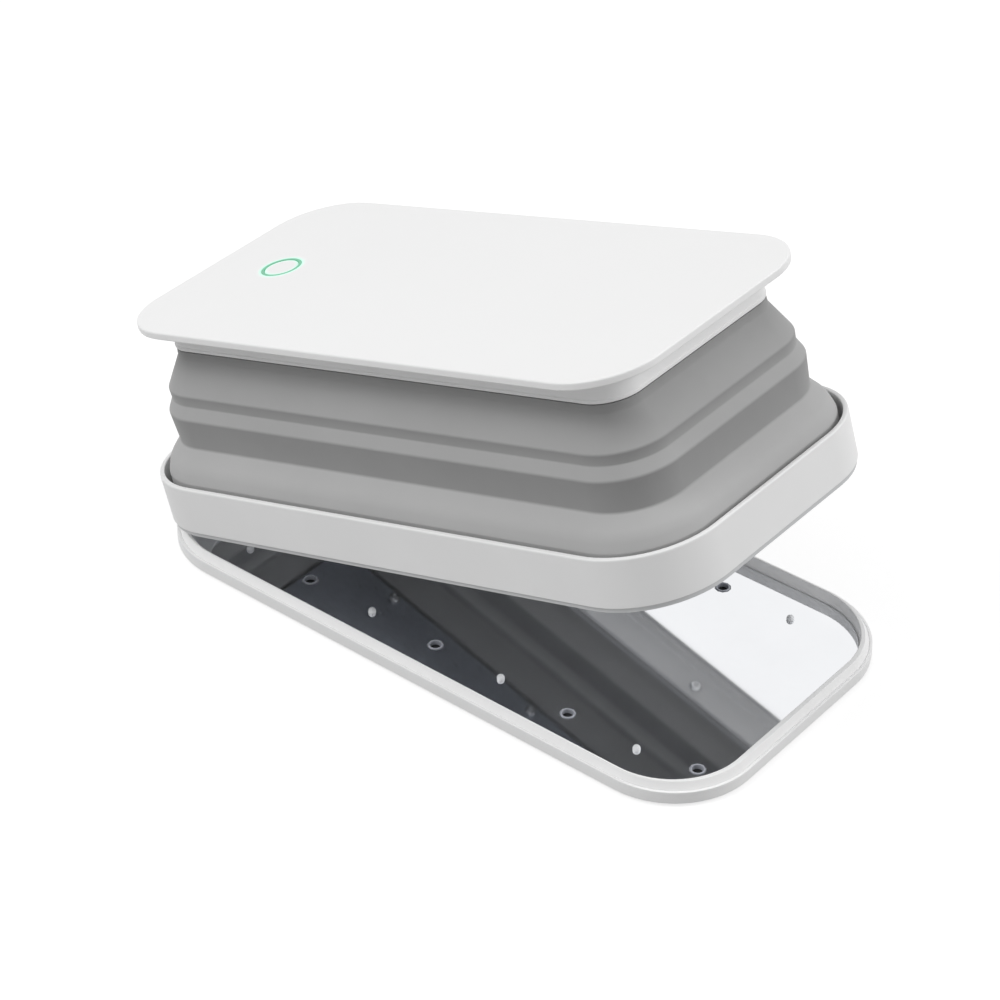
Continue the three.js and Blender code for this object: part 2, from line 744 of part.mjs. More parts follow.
// Lamp places in two rows, and the two screws of the lamp board
const ledPlaces = sides.flatMap((side) => [-ledPitch, 0, ledPitch].map((x) => [x, side * ledRowPlace]));
const ledScrewPlaces = sides.map((side) => [side * (ledPitch / 2), 0]);

function reflectorPanel() {
  const screwHoles = headScrewPlaces.map(([x, y]) =>
    post(x, y, panelBottom - overrun, panelTop + overrun, screwRadius + fitGap));
  const windows = ledPlaces.map(([x, y]) =>
    post(x, y, panelBottom - overrun, panelTop + overrun, windowRadius));
  const boardHoles = ledScrewPlaces.map(([x, y]) =>
    post(x, y, panelBottom - overrun, panelTop + overrun, smallScrewRadius + fitGap));
  return joinCut(insetBlock(panelInset, panelBottom, panelTop), [],
    [...screwHoles, ...windows, ...boardHoles]);
}

function ledBoard() {
  const sheet = box(-ledBoardLength / 2, ledBoardLength / 2, -ledBoardWidth / 2, ledBoardWidth / 2,
    ledBoardBottom, ledBoardTop);
  return joinCut(sheet, [], ledScrewPlaces.map(([x, y]) =>
    post(x, y, ledBoardBottom - overrun, ledBoardTop + overrun, smallScrewRadius + fitGap)));
}

const ledBoardScrew = ([x, y]) => screw(x, y, ledBoardTop + fitGap + smallScrewHeadHeight,
  panelBottom + fitGap, smallScrew);

// A lamp with its round lens, which looks down through its window
const uvLed = ([x, y]) => joinCut(
  box(x - ledSize / 2, x + ledSize / 2, y - ledSize / 2, y + ledSize / 2,
    ledBoardBottom - fitGap - ledHeight / 2, ledBoardBottom - fitGap),
  [post(x, y, ledBoardBottom - fitGap - ledHeight, ledBoardBottom - fitGap - ledHeight / 4,
    ledSize / 2 - fitGap)],
  [],
);

function mainBoard() {
  const middle = (mainBoardStart + mainBoardEnd) / 2;
  const sheet = blockSolid([mainBoardBottom, mainBoardTop].map((z) =>
    [mainBoardLength, mainBoardWidth, mainBoardRadius, z])).translate(middle, 0, 0);
  return joinCut(sheet, [], mainBossPlaces.map(([x, y]) =>
    post(x, y, mainBoardBottom - overrun, mainBoardTop + overrun, smallScrewRadius + fitGap)));
}

const boardConnector = () => box(
  mainBoardEnd - connectorSetback - connectorLength / 2,
  mainBoardEnd - connectorSetback + connectorLength / 2,
  -connectorWidth / 2, connectorWidth / 2,
  ledBoardTop + fitGap, mainBoardBottom - fitGap);

// Charging socket: a flattened metal sleeve with a tongue inside
function chargingSocket() {
  const middle = socketBottom + socketHeight / 2;
  const sleeve = (length, width, height, start) => new THREE.ExtrudeGeometry(
    stadium(width, height), { depth: length, bevelEnabled: false, curveSegments: edgeSteps })
    .rotateX(Math.PI / 2)
    .rotateZ(Math.PI / 2)
    .translate(start, 0, middle);
  const body = sleeve(socketLength, socketWidth, socketHeight, socketMouth);
  const cavity = sleeve(socketDepth + overrun, socketWidth - 2 * socketWall,
    socketHeight - 2 * socketWall, socketMouth - overrun);
  const tongue = box(socketMouth + socketTongueSetback, socketMouth + socketDepth + socketWall,
    -socketTongueWidth / 2, socketTongueWidth / 2,
    middle - socketTongueHeight / 2, middle + socketTongueHeight / 2);
  const hollow = joinCut(body, [], [cavity]);
  return joinCut(hollow, [tongue], []);
}

// A flat bar's outline with half-round sides
function stadium(width, height) {
  const radius = height / 2;
  const reach = width / 2 - radius;
  const shape = new THREE.Shape();
  shape.absarc(reach, 0, radius, -Math.PI / 2, Math.PI / 2, false);
  shape.absarc(-reach, 0, radius, Math.PI / 2, Math.PI * 1.5, false);
  shape.closePath();
  return shape;
}

const battery = () => blockSolid([plateBottom - fitGap - batteryThickness, plateBottom - fitGap]
  .map((z) => [batteryLength, batteryWidth, batteryRadius, z])).translate(batteryPlace, 0, 0);

// Power button, its light ring and its switch
const lightRing = () => turned([
  [lightRingBore, ringBottom],
  [lightRingFlangeRadius, ringBottom],
  [lightRingFlangeRadius, ringFlangeTop],
  [lightRingRadius, ringFlangeTop],
  [lightRingRadius, plateTop],
  [lightRingBore, plateTop],
  [lightRingBore, ringBottom],
], -buttonPlace, 0, fineSteps);

function powerButton() {
  const capRadius = lightRingBore - fitGap;
  const capTop = plateTop - buttonRecess;
  const flangeRadius = lightRingBore + buttonFlangeOverlap;
  return turned([
    [0, buttonBottom],
    [flangeRadius, buttonBottom],
    [flangeRadius, buttonFlangeTop],
    [capRadius, buttonFlangeTop],
    [capRadius, capTop - buttonEdgeChamfer],
    [capRadius - buttonEdgeChamfer, capTop],
    [0, capTop],
  ], -buttonPlace, 0, fineSteps);
}

const tactSwitch = () => joinCut(
  box(-buttonPlace - switchSize / 2, -buttonPlace + switchSize / 2,
    -switchSize / 2, switchSize / 2, socketBottom, socketBottom + switchBodyHeight),
  [post(-buttonPlace, 0, socketBottom + switchBodyHeight / 2, plungerTop, plungerRadius)],
  [],
);

// The whole box
const piece = (name, geometry, material) => {
  const mesh = new THREE.Mesh(closedGeometry(geometry), material);
  mesh.name = name;
  return mesh;
};
const numbered = (name, places, make, material) =>
  places.map((place, k) => piece(`${name}_${k + 1}`, make(place), material));

const studSpots = rows.flatMap((y) => studPlaces.map((x) => [x, y]));
const trayPieces = [
  piece("base_tray", baseTray(), whiteShell),
  piece("base_pad", basePad(), padRubber),
  piece("mirror_floor", mirrorFloor(), mirrorSheet),
  piece("hinge_pin", hingePin(), steel),
  ...numbered("phone_stud", studSpots, ([x, y]) => phoneStud(x, y), whiteShell),
  ...numbered("tray_magnet", sides, (side) =>
    magnetBar(trayMagnetInset, side, trayBottom + fitGap), magnetMetal),
];

const lidPieces = [
  piece("lid_band", lidBand(), whiteShell),
  piece("bellows", bellows(), greySilicone),
  piece("bellows_clamp", bellowsClamp(), whiteShell),
  ...numbered("clamp_screw", clampScrewPlaces, clampScrew, steel),
  ...numbered("lid_magnet", sides, (side) =>
    magnetBar(lidMagnetInset, side, rebateTop + fitGap), magnetMetal),
  piece("top_plate", topPlate(), whitePlate),
  piece("light_ring", lightRing(), clearRing),
  piece("power_button", powerButton(), whitePlate),
  piece("head_collar", headCollar(), whiteShell),
  piece("reflector_panel", reflectorPanel(), mirrorSheet),
  piece("main_board", mainBoard(), boardGreen),
  piece("led_board", ledBoard(), boardGreen),
  piece("board_connector", boardConnector(), blackPlastic),
  piece("charging_socket", chargingSocket(), steel),
  piece("battery", battery(), batteryFoil),
  piece("tact_switch", tactSwitch(), blackPlastic),
  ...numbered("uv_led", ledPlaces, uvLed, lampCeramic),
  ...numbered("head_screw", headScrewPlaces, headScrew, steel),
  ...numbered("board_screw", mainBossPlaces, mainBoardScrew, steel),
  ...numbered("led_board_screw", ledScrewPlaces, ledBoardScrew, steel),
];

// The lid turns about the hinge axis and rests part open
const closedLid = new THREE.Group();
closedLid.position.set(-hingeX, 0, lidZero - hingeZ);
closedLid.add(...lidPieces);

const lid = new THREE.Group();
lid.position.set(hingeX, 0, hingeZ);
lid.rotation.y = -THREE.MathUtils.degToRad(lidRestAngle);
lid.add(closedLid);

const sanitizerBox = new THREE.Group();
sanitizerBox.add(...trayPieces, lid);

export default sanitizerBox;
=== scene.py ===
"""Sanitizer box for phones: the finished pieces and their looks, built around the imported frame."""

from __future__ import annotations

import json
import logging
import math
from collections.abc import Sequence
from dataclasses import dataclass
from enum import Enum

import bmesh
import bpy
import numpy as np
from mathutils import Matrix, Vector

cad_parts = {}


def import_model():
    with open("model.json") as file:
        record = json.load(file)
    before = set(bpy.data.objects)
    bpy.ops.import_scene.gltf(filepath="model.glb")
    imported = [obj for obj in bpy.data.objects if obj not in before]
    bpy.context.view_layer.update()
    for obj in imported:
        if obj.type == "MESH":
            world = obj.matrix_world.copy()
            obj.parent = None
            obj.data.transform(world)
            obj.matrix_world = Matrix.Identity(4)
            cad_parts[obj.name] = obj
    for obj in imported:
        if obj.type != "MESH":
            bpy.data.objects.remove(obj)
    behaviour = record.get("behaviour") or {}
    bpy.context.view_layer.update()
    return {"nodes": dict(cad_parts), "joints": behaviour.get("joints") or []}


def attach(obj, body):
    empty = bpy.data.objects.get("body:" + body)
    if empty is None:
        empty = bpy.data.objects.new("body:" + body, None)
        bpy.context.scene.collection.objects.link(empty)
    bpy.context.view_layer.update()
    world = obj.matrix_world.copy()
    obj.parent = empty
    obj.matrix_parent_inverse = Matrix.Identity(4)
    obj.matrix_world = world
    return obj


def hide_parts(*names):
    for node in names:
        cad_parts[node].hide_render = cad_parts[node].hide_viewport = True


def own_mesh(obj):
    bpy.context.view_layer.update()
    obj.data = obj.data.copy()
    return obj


LOG = logging.getLogger("sanitizer_box")
MM = 0.001
FULL_TURN = 2 * math.pi
QUARTER_TURN = math.pi / 2
ARC_LIMIT = 0.45
SHARP_ANGLE = 35.0
WELD = 0.0005
# The vertex layer that paints shade on the bellows.
SHADE_LAYER = "painted_shade"

Mesh = bmesh.types.BMesh
Edges = list[bmesh.types.BMEdge]
Verts = list[bmesh.types.BMVert]
Socket = bpy.types.NodeSocket
Material = bpy.types.Material
Piece = bpy.types.Object
Point = tuple[float, float]
Triple = tuple[float, float, float]
Stops = list[tuple[float, Triple]]


class Body(Enum):
    """The moving bodies of the frame."""

    BASE = "base"
    LID = "lid"
    HEAD = "head"
    BUTTON = "button"


def linear(*levels: int) -> Triple:
    """Turns a display colour, from 0 to 255, into the linear one that shaders use."""
    shares = [level / 255 for level in levels]
    return tuple(s / 12.92 if s <= 0.04045 else ((s + 0.055) / 1.055) ** 2.4 for s in shares)


def shaded(colour: Triple, factor: float) -> Triple:
    """Makes a colour darker or lighter by a factor."""
    return colour[0] * factor, colour[1] * factor, colour[2] * factor


@dataclass(frozen=True)
class Outline:
    """A rounded rectangle round the Z axis, in millimetres."""

    length: float
    width: float
    radius: float
    segments: int = 18

    def inset(self, depth: float) -> Outline:
        """Gives the outline drawn in by a depth."""
        return Outline(self.length - 2 * depth, self.width - 2 * depth, self.radius - depth,
                       self.segments)

    def reach(self) -> Point:
        """Gives the corner arcs' centre, from the middle."""
        return self.length / 2 - self.radius, self.width / 2 - self.radius

    def start(self, level: float) -> Mesh:
        """Starts a mesh with the outline as a loop of edges.

        Args:
            level: Its height.

        Returns:
            The mesh.
        """
        bm = bmesh.new()
        corners = [bm.verts.new((x * self.length / 2, y * self.width / 2, level))
                   for x, y in ((1, 1), (-1, 1), (-1, -1), (1, -1))]
        bm.faces.new(corners)
        bmesh.ops.bevel(bm, geom=corners, offset=self.radius, offset_type="OFFSET",
                        segments=self.segments, profile=0.5, affect="VERTICES", material=-1)
        bmesh.ops.delete(bm, geom=list(bm.faces), context="FACES_ONLY")
        return bm

    def place(self, verts: Verts, before: Outline, level: float) -> None:
        """Moves points from another outline's loop onto this one.

        Args:
            verts: The points, on the other outline.
            before: The outline that they are on.
            level: Their new height.
        """
        old_x, old_y = before.reach()
        new_x, new_y = self.reach()
        for vert in verts:
            side_x = math.copysign(1, vert.co.x)
            side_y = math.copysign(1, vert.co.y)
            way = Vector((vert.co.x - side_x * old_x, vert.co.y - side_y * old_y)).normalized()
            vert.co = (side_x * new_x + self.radius * way.x,
                       side_y * new_y + self.radius * way.y, level)


def near_edges(verts: Verts) -> Edges:
    """Gives the edges at some points, each once and in a fixed order."""
    return list(dict.fromkeys(edge for vert in verts for edge in vert.link_edges))


def extrude(bm: Mesh, edges: Edges) -> tuple[Verts, Edges]:
    """Extrudes a loop of edges, and leaves the new loop where it is.

    Args:
        bm: The mesh.
        edges: The loop.

    Returns:
        The new points and the edges between them.
    """
    made = bmesh.ops.extrude_edge_only(bm, edges=edges)["geom"]
    verts = [item for item in made if isinstance(item, bmesh.types.BMVert)]
    fresh = set(verts)
    return verts, [edge for edge in near_edges(verts) if fresh.issuperset(edge.verts)]


def skin(stations: list[tuple[Outline, float]], closed: bool) -> Mesh:
    """Draws a wall through a row of outlines, and closes it on itself or with flat ends.

    Args:
        stations: The outlines and their heights, in order.
        closed: Whether the last outline joins the first.

    Returns:
        The mesh.
    """
    outline, level = stations[0]
    bm = outline.start(level)
    first = loop = list(bm.edges)
    for (before, _), (outline, level) in zip(stations, stations[1:]):
        verts, loop = extrude(bm, loop)
        outline.place(verts, before, level)
    if closed:
        bmesh.ops.bridge_loops(bm, edges=first + loop)
    else:
        bmesh.ops.contextual_create(bm, geom=first)
        bmesh.ops.contextual_create(bm, geom=loop)
    return bm


def turned(profile: list[Point], places: list[Point], steps: int) -> Mesh:
    """Spins a profile of (radius, level) points round upright axes.

    Args:
        profile: The points.
        places: Where the axes stand.
        steps: The pieces of the full turn.

    Returns:
        The mesh.
    """
    bm = bmesh.new()
    for x, y in places:
        verts = [bm.verts.new((x + radius, y, level)) for radius, level in profile]
        edges = [bm.edges.new(pair) for pair in zip(verts, verts[1:])]
        bmesh.ops.spin(bm, geom=verts + edges, cent=(x, y, 0), axis=(0, 0, 1), angle=FULL_TURN,
                       steps=steps, use_merge=True)
        bmesh.ops.remove_doubles(bm, verts=bm.verts, dist=0.001)
    return bm


def rounded(corners: list[Triple], steps: int) -> list[Point]:
    """Rounds the corners of an open profile.

    Args:
        corners: Each corner's place and radius; the two ends' radii aren't used.
        steps: The pieces in each arc.

    Returns:
        The profile's points, with an arc at each corner that has a radius.
    """
    result = [corners[0][:2]]
    for before, (*place, radius), after in zip(corners, corners[1:], corners[2:]):
        here = Vector(place)
        back = Vector(before[:2]) - here
        ahead = Vector(after[:2]) - here
        cut = min(radius / math.tan(back.angle(ahead) / 2),
                  ARC_LIMIT * back.length, ARC_LIMIT * ahead.length)
        if cut <= 0:
            result.append(tuple(place))
            continue
        start = here + back.normalized() * cut
        end = here + ahead.normalized() * cut
        for step in range(steps + 1):
            share = step / steps
            result.append(tuple(start.lerp(here, share).lerp(here.lerp(end, share), share)))
    result.append(corners[-1][:2])
    return result


def swept(outline: Outline, corners: list[Triple], steps: int, closed: bool = True) -> Mesh:
    """Draws a profile of (inset, level, radius) corners round an outline, as skin does."""
    points = rounded([*corners, corners[0]], steps)[:-1] if closed else rounded(corners, steps)
    return skin([(outline.inset(inset), level) for inset, level in points], closed)


def thickened(points: list[Point], wall: float) -> list[Point]:
    """Gives an open profile a wall towards the inside.

    Args:
        points: The outer profile, from the foot up.
        wall: The wall's thickness.

    Returns:
        The closed profile: the outer one, and then the inner one from the top down.
    """
    inner = []
    for before, (inset, level), after in zip(points[:1] + points, points, points[1:] + points[-1:]):
        along = (Vector(after) - Vector(before)).normalized()
        inner.append((inset + along.y * wall, level - along.x * wall))
    return points + inner[::-1]


def slab(bm: Mesh, low: Triple, high: Triple, bevel: float) -> None:
    """Makes a block with its edges rounded.

    Args:
        bm: The mesh.
        low: Its lowest corner.
        high: Its highest corner.
        bevel: How far its edges are rounded.
    """
    start, end = Vector(low), Vector(high)
    made = bmesh.ops.create_cube(bm, size=1.0)["verts"]
    bmesh.ops.scale(bm, vec=end - start, verts=made)
    bmesh.ops.translate(bm, vec=(start + end) / 2, verts=made)
    bmesh.ops.bevel(bm, geom=near_edges(made), offset=bevel, offset_type="OFFSET", segments=2,
                    profile=0.5, affect="EDGES", material=-1)


def rod(bm: Mesh, centre: Triple, length: float, radius: float, bevel: float = 0) -> None:
    """Makes a round bar along Y with rounded ends.

    Args:
        bm: The mesh.
        centre: Its middle.
        length: Its length.
        radius: Its radius.
        bevel: How far its ends are rounded.
    """
    made = bmesh.ops.create_cone(bm, cap_ends=True, segments=40, radius1=radius, radius2=radius,
                                 depth=length)["verts"]
    rims = [edge for edge in near_edges(made)
            if abs(edge.verts[0].co.z - edge.verts[1].co.z) < radius / 100]
    turn = Matrix.Rotation(QUARTER_TURN, 3, "X")
    bmesh.ops.rotate(bm, cent=(0, 0, 0), matrix=turn, verts=made)
    bmesh.ops.translate(bm, vec=centre, verts=made)
    if bevel > 0:
        bmesh.ops.bevel(bm, geom=rims, offset=bevel, offset_type="OFFSET", segments=3,
                        profile=0.5, affect="EDGES", material=-1)


def pan_screw(place: Point, seat: float, tip: float) -> Mesh:
    """Makes a pan-head screw with a six-sided recess, head down.

    Args:
        place: Where its axis stands.
        seat: The height of the head's inner face.
        tip: The height of the shank's end.

    Returns:
        The mesh.
    """
    head, height, shank = 1.8, 0.9, 0.9
    face = seat - height
    bm = turned(rounded([
        (head * 0.62, face, 0), (head * 0.8, face, height / 2),
        (head, face + height / 2, height / 3), (head, seat, 0.1), (shank, seat, 0.1),
        (shank, tip, 0.2), (0.0, tip, 0)], 3), [place], 24)
    rim = [edge for edge in bm.edges if edge.is_boundary]
    recess = near_edges(bmesh.ops.create_circle(
        bm, cap_ends=False, radius=head * 0.5, segments=6,
        matrix=Matrix.Translation((*place, face)))["verts"])
    bmesh.ops.bridge_loops(bm, edges=rim + recess)
    deep, bottom = extrude(bm, recess)
    bmesh.ops.translate(bm, vec=(0, 0, height * 0.55), verts=deep)
    bmesh.ops.contextual_create(bm, geom=bottom)
    return bm


class Tree:
    """A node tree, with the steps that the finishes and the world share."""

    def __init__(self, tree: bpy.types.NodeTree) -> None:
        """Keeps the tree's nodes and links."""
        self.nodes, self.links = tree.nodes, tree.links

    def node(self, kind: str, inputs: dict[int | str, object], **settings: str) -> bpy.types.Node:
        """Adds a node.

        Args:
            kind: Its type.
            inputs: The values or sockets that its inputs get, by place or name.
            settings: Its own settings.

        Returns:
            The node.
        """
        made = self.nodes.new(kind)
        for key, setting in settings.items():
            setattr(made, key, setting)
        for key, value in inputs.items():
            if isinstance(value, Socket):
                self.links.new(value, made.inputs[key])
            else:
                made.inputs[key].default_value = value
        return made

    def math(self, operation: str, *values: float | Socket) -> Socket:
        """Adds a sum of some values, by the operation's name, and gives its result."""
        return self.node("ShaderNodeMath", dict(enumerate(values)), operation=operation).outputs[0]

    def spread(self, value: Socket, low: float, high: float) -> Socket:
        """Stretches a value from 0 to 1 between two limits."""
        return self.node("ShaderNodeMapRange", {
            "Value": value, "To Min": low, "To Max": high}).outputs["Result"]

    def shown(self) -> Socket:
        """Gives 1 to the camera and to reflections, and 0 to the light on the box."""
        path = self.nodes.new("ShaderNodeLightPath").outputs
        return self.math("MAXIMUM", path["Is Camera Ray"], path["Is Glossy Ray"])


class Shader(Tree):
    """A material's node tree round one Principled shader."""

    def __init__(self, name: str, **values: object) -> None:
        """Starts a material.

        Args:
            name: The material's name.
            values: Plain sockets of the shader, with _ for the spaces in their names.
        """
        self.material = bpy.data.materials.new(name)
        self.material.use_nodes = True
        super().__init__(self.material.node_tree)
        self.surface = self.nodes["Principled BSDF"].inputs
        self.place = self.nodes.new("ShaderNodeTexCoord").outputs["Object"]
        for key, value in values.items():
            self.surface[key.replace("_", " ")].default_value = value

    def feed(self, name: str, value: Socket) -> None:
        """Links a value to a socket of the Principled shader."""
        self.links.new(value, self.surface[name])

    def noise(self, scale: float, detail: float = 4.0, roughness: float = 0.5,
              vector: Socket | None = None) -> Socket:
        """Adds noise.

        Args:
            scale: Its scale, in patches to the metre.
            detail: Its octaves.
            roughness: How strong the finer octaves are.
            vector: The coordinates that it reads, the object's if left out.

        Returns:
            Its value, from 0 to 1.
        """
        return self.node("ShaderNodeTexNoise", {
            "Scale": scale, "Detail": detail, "Roughness": roughness,
            "Vector": vector or self.place}).outputs["Fac"]

    def ramp(self, value: Socket, stops: Stops) -> Socket:
        """Turns a value into a colour.

        Args:
            value: A value from 0 to 1.
            stops: The places from 0 to 1 and the colours there.

        Returns:
            The colour.
        """
        node = self.node("ShaderNodeValToRGB", {"Fac": value})
        elements = node.color_ramp.elements
        while len(elements) < len(stops):
            elements.new(0.5)
        for element, (position, colour) in zip(elements, stops):
            element.position = position
            element.color = (*colour, 1.0)
        return node.outputs["Color"]

    def tint(self, value: Socket, stops: Stops) -> None:
        """Colours the surface by a value, from stops as a ramp takes."""
        self.feed("Base Color", self.ramp(value, stops))

    def mottle(self, value: Socket, colour: Triple, factor: float) -> None:
        """Colours the surface in soft patches, from a shade of the colour to the colour."""
        self.tint(value, [(0.3, shaded(colour, factor)), (0.7, colour)])

    def roughen(self, value: Socket, low: float, high: float) -> None:
        """Lets a value set the roughness between two limits."""
        self.feed("Roughness", self.spread(value, low, high))

    def emboss(self, value: Socket, depth: float) -> None:
        """Raises the surface by a value, over what is raised already.

        Args:
            value: A value from 0 to 1.
            depth: The height of 1, in metres.
        """
        node = self.node("ShaderNodeBump", {"Distance": depth, "Strength": 1.0, "Height": value})
        for link in self.surface["Normal"].links:
            self.links.new(link.from_socket, node.inputs["Normal"])
        self.feed("Normal", node.outputs["Normal"])


@dataclass(frozen=True)
class MouldedPlastic:
    """Satin plastic with a fine spark-eroded grain."""

    name: str
    colour: Triple
    roughness: float
    grain: float = 2600.0
    grain_depth: float = 0.00001

    def material(self) -> Material:
        """Builds faint clouds of tone, a grain, and uneven polish."""
        shader = Shader(self.name, Specular_IOR_Level=0.4)
        shader.mottle(shader.noise(38.0, 3.0), self.colour, 0.975)
        shader.roughen(shader.noise(420.0, 3.0), self.roughness - 0.05, self.roughness + 0.07)
        shader.emboss(shader.noise(self.grain, 2.0), self.grain_depth)
        return shader.material


@dataclass(frozen=True)
class Silicone:
    """Matt silicone with a dusty bloom on its slopes and painted shade on its upright walls."""

    name: str
    colour: Triple
    roughness: float
    painted_shade_factor: float

    def material(self) -> Material:
        """Builds bloom in soft patches over a fine matt skin, with painted shade where the layer
        says.
        """
        shader = Shader(
            self.name, Specular_IOR_Level=0.3, Sheen_Weight=0.12, Sheen_Roughness=0.6)
        bloom = shader.noise(24.0, 5.0, 0.6)
        painted_shade = shader.node("ShaderNodeAttribute", {}, attribute_name=SHADE_LAYER)
        mixed = shader.node("ShaderNodeMix", {"Factor": painted_shade.outputs["Fac"]}, data_type="RGBA")
        # Colour B is painted shade: the silicone darkened by the factor where the layer marks the
        # upright walls and neck.
        for end, colour in (("A", self.colour), ("B", shaded(self.colour, self.painted_shade_factor))):
            faded = shader.ramp(bloom, [(0.3, shaded(colour, 0.97)), (0.7, shaded(colour, 1.03))])
            shader.links.new(faded, next(
                item for item in mixed.inputs if item.name == end and item.type == "RGBA"))
        shader.feed("Base Color", next(item for item in mixed.outputs if item.type == "RGBA"))
        shader.roughen(shader.noise(260.0), self.roughness - 0.06, self.roughness + 0.08)
        shader.emboss(shader.noise(3200.0, 2.0), 0.000012)
        shader.emboss(shader.noise(60.0, 2.0), 0.00008)
        return shader.material


@dataclass(frozen=True)
class PaddedRubber:
    """Soft rubber with small moulded dimples."""

    name: str
    colour: Triple
    dimples: float

    def material(self) -> Material:
        """Builds dimples, dust in them, and a matt skin."""
        shader = Shader(self.name, Specular_IOR_Level=0.25)
        cells = shader.node("ShaderNodeTexVoronoi", {
            "Scale": self.dimples, "Vector": shader.place}).outputs["Distance"]
        shader.tint(cells, [(0.05, shaded(self.colour, 1.25)), (0.5, self.colour)])
        shader.roughen(shader.noise(300.0), 0.75, 0.92)
        shader.emboss(cells, 0.0002)
        return shader.material


@dataclass(frozen=True)
class MirrorFilm:
    """Mirror film on a flat sheet, with a breath of haze."""

    name: str
    colour: Triple
    roughness: float
    ripple: float

    def material(self) -> Material:
        """Builds clean metal with haze in patches and a slow ripple."""
        shader = Shader(self.name, Metallic=1.0)
        haze = shader.noise(30.0, 5.0, 0.6)
        shader.mottle(haze, self.colour, 0.96)
        shader.roughen(haze, self.roughness * 0.6, self.roughness * 1.4)
        shader.emboss(shader.noise(14.0, 1.0), self.ripple)
        return shader.material


@dataclass(frozen=True)
class BrushedMetal:
    """Metal with fine marks along one direction."""

    name: str
    colour: Triple
    roughness: float
    marks: Triple

    def material(self) -> Material:
        """Builds long marks in the tone, the polish and the surface."""
        shader = Shader(self.name, Metallic=1.0)
        drawn = shader.node("ShaderNodeMapping", {"Scale": self.marks, "Vector": shader.place})
        lines = shader.noise(900.0, 3.0, 0.6, drawn.outputs["Vector"])
        shader.mottle(lines, self.colour, 0.9)
        shader.roughen(lines, self.roughness - 0.08, self.roughness + 0.1)
        shader.emboss(lines, 0.000006)
        return shader.material


@dataclass(frozen=True)
class SolderMask:
    """A circuit board's green lacquer over copper tracks."""

    name: str
    colour: Triple

    def material(self) -> Material:
        """Builds the tracks as lighter, raised bands under the lacquer."""
        shader = Shader(self.name, Coat_Weight=0.4, Coat_Roughness=0.15)
        tracks = shader.node("ShaderNodeTexWave", {
            "Scale": 90.0, "Distortion": 6.0, "Vector": shader.place},
            bands_direction="Y").outputs["Fac"]
        shader.tint(tracks, [(0.45, self.colour), (0.55, shaded(self.colour, 1.7))])
        shader.roughen(shader.noise(200.0), 0.35, 0.5)
        shader.emboss(tracks, 0.00004)
        return shader.material


@dataclass(frozen=True)
class LitPlastic:
    """Translucent plastic lit from inside."""

    name: str
    colour: Triple
    glow: Triple
    strength: float

    def material(self) -> Material:
        """Builds a glow that is a little uneven round the ring."""
        shader = Shader(self.name, Emission_Color=(*self.glow, 1.0))
        uneven = shader.noise(150.0, 2.0)
        shader.mottle(uneven, self.colour, 0.92)
        glow = shader.spread(uneven, self.strength * 0.92, self.strength * 1.08)
        shader.feed("Emission Strength", glow)
        shader.roughen(uneven, 0.3, 0.4)
        return shader.material


@dataclass(frozen=True)
class HaloPlastic:
    """Smooth white plastic with the lit ring's glow painted on it close to the ring."""

    name: str
    colour: Triple
    roughness: float
    centre: Triple
    ring: float
    spread: float
    halo: Triple
    glow: float

    def material(self) -> Material:
        """Builds the plain plastic, with a painted glow and halo tint close to the ring."""
        shader = Shader(self.name, Specular_IOR_Level=0.4, Emission_Color=(*self.halo, 1.0))
        reach = shader.node("ShaderNodeVectorMath", {0: shader.place, 1: self.centre},
                            operation="DISTANCE")
        away = shader.math("SUBTRACT", reach.outputs["Value"], self.ring)
        painted_glow = shader.node("ShaderNodeMapRange", {
            "Value": shader.math("ABSOLUTE", away), "From Max": self.spread,
            "To Min": 1.0, "To Max": 0.0}, interpolation_type="SMOOTHSTEP").outputs["Result"]
        clouds = shader.math("MULTIPLY_ADD", shader.noise(38.0, 3.0), -0.3, 0.3)
        # The halo tint and the emission close to the ring are painted glow; the plate is no lamp.
        shader.tint(shader.math("MAXIMUM", painted_glow, clouds), [
            (0.0, self.colour), (0.3, shaded(self.colour, 0.985)), (1.0, self.halo)])
        shader.feed("Emission Strength", shader.spread(painted_glow, 0.0, self.glow))
        shader.roughen(shader.noise(420.0, 3.0), self.roughness - 0.05, self.roughness + 0.07)
        shader.emboss(shader.noise(1800.0, 2.0), 0.000005)
        return shader.material


@dataclass(frozen=True)
class LensGlass:
    """The clear dome of a lamp."""

    name: str
    colour: Triple

    def material(self) -> Material:
        """Builds clear glass with a faint unevenness."""
        shader = Shader(self.name, Transmission_Weight=0.85, IOR=1.46)
        patches = shader.noise(500.0, 2.0)
        shader.mottle(patches, self.colour, 0.95)
        shader.roughen(patches, 0.03, 0.08)
        return shader.material


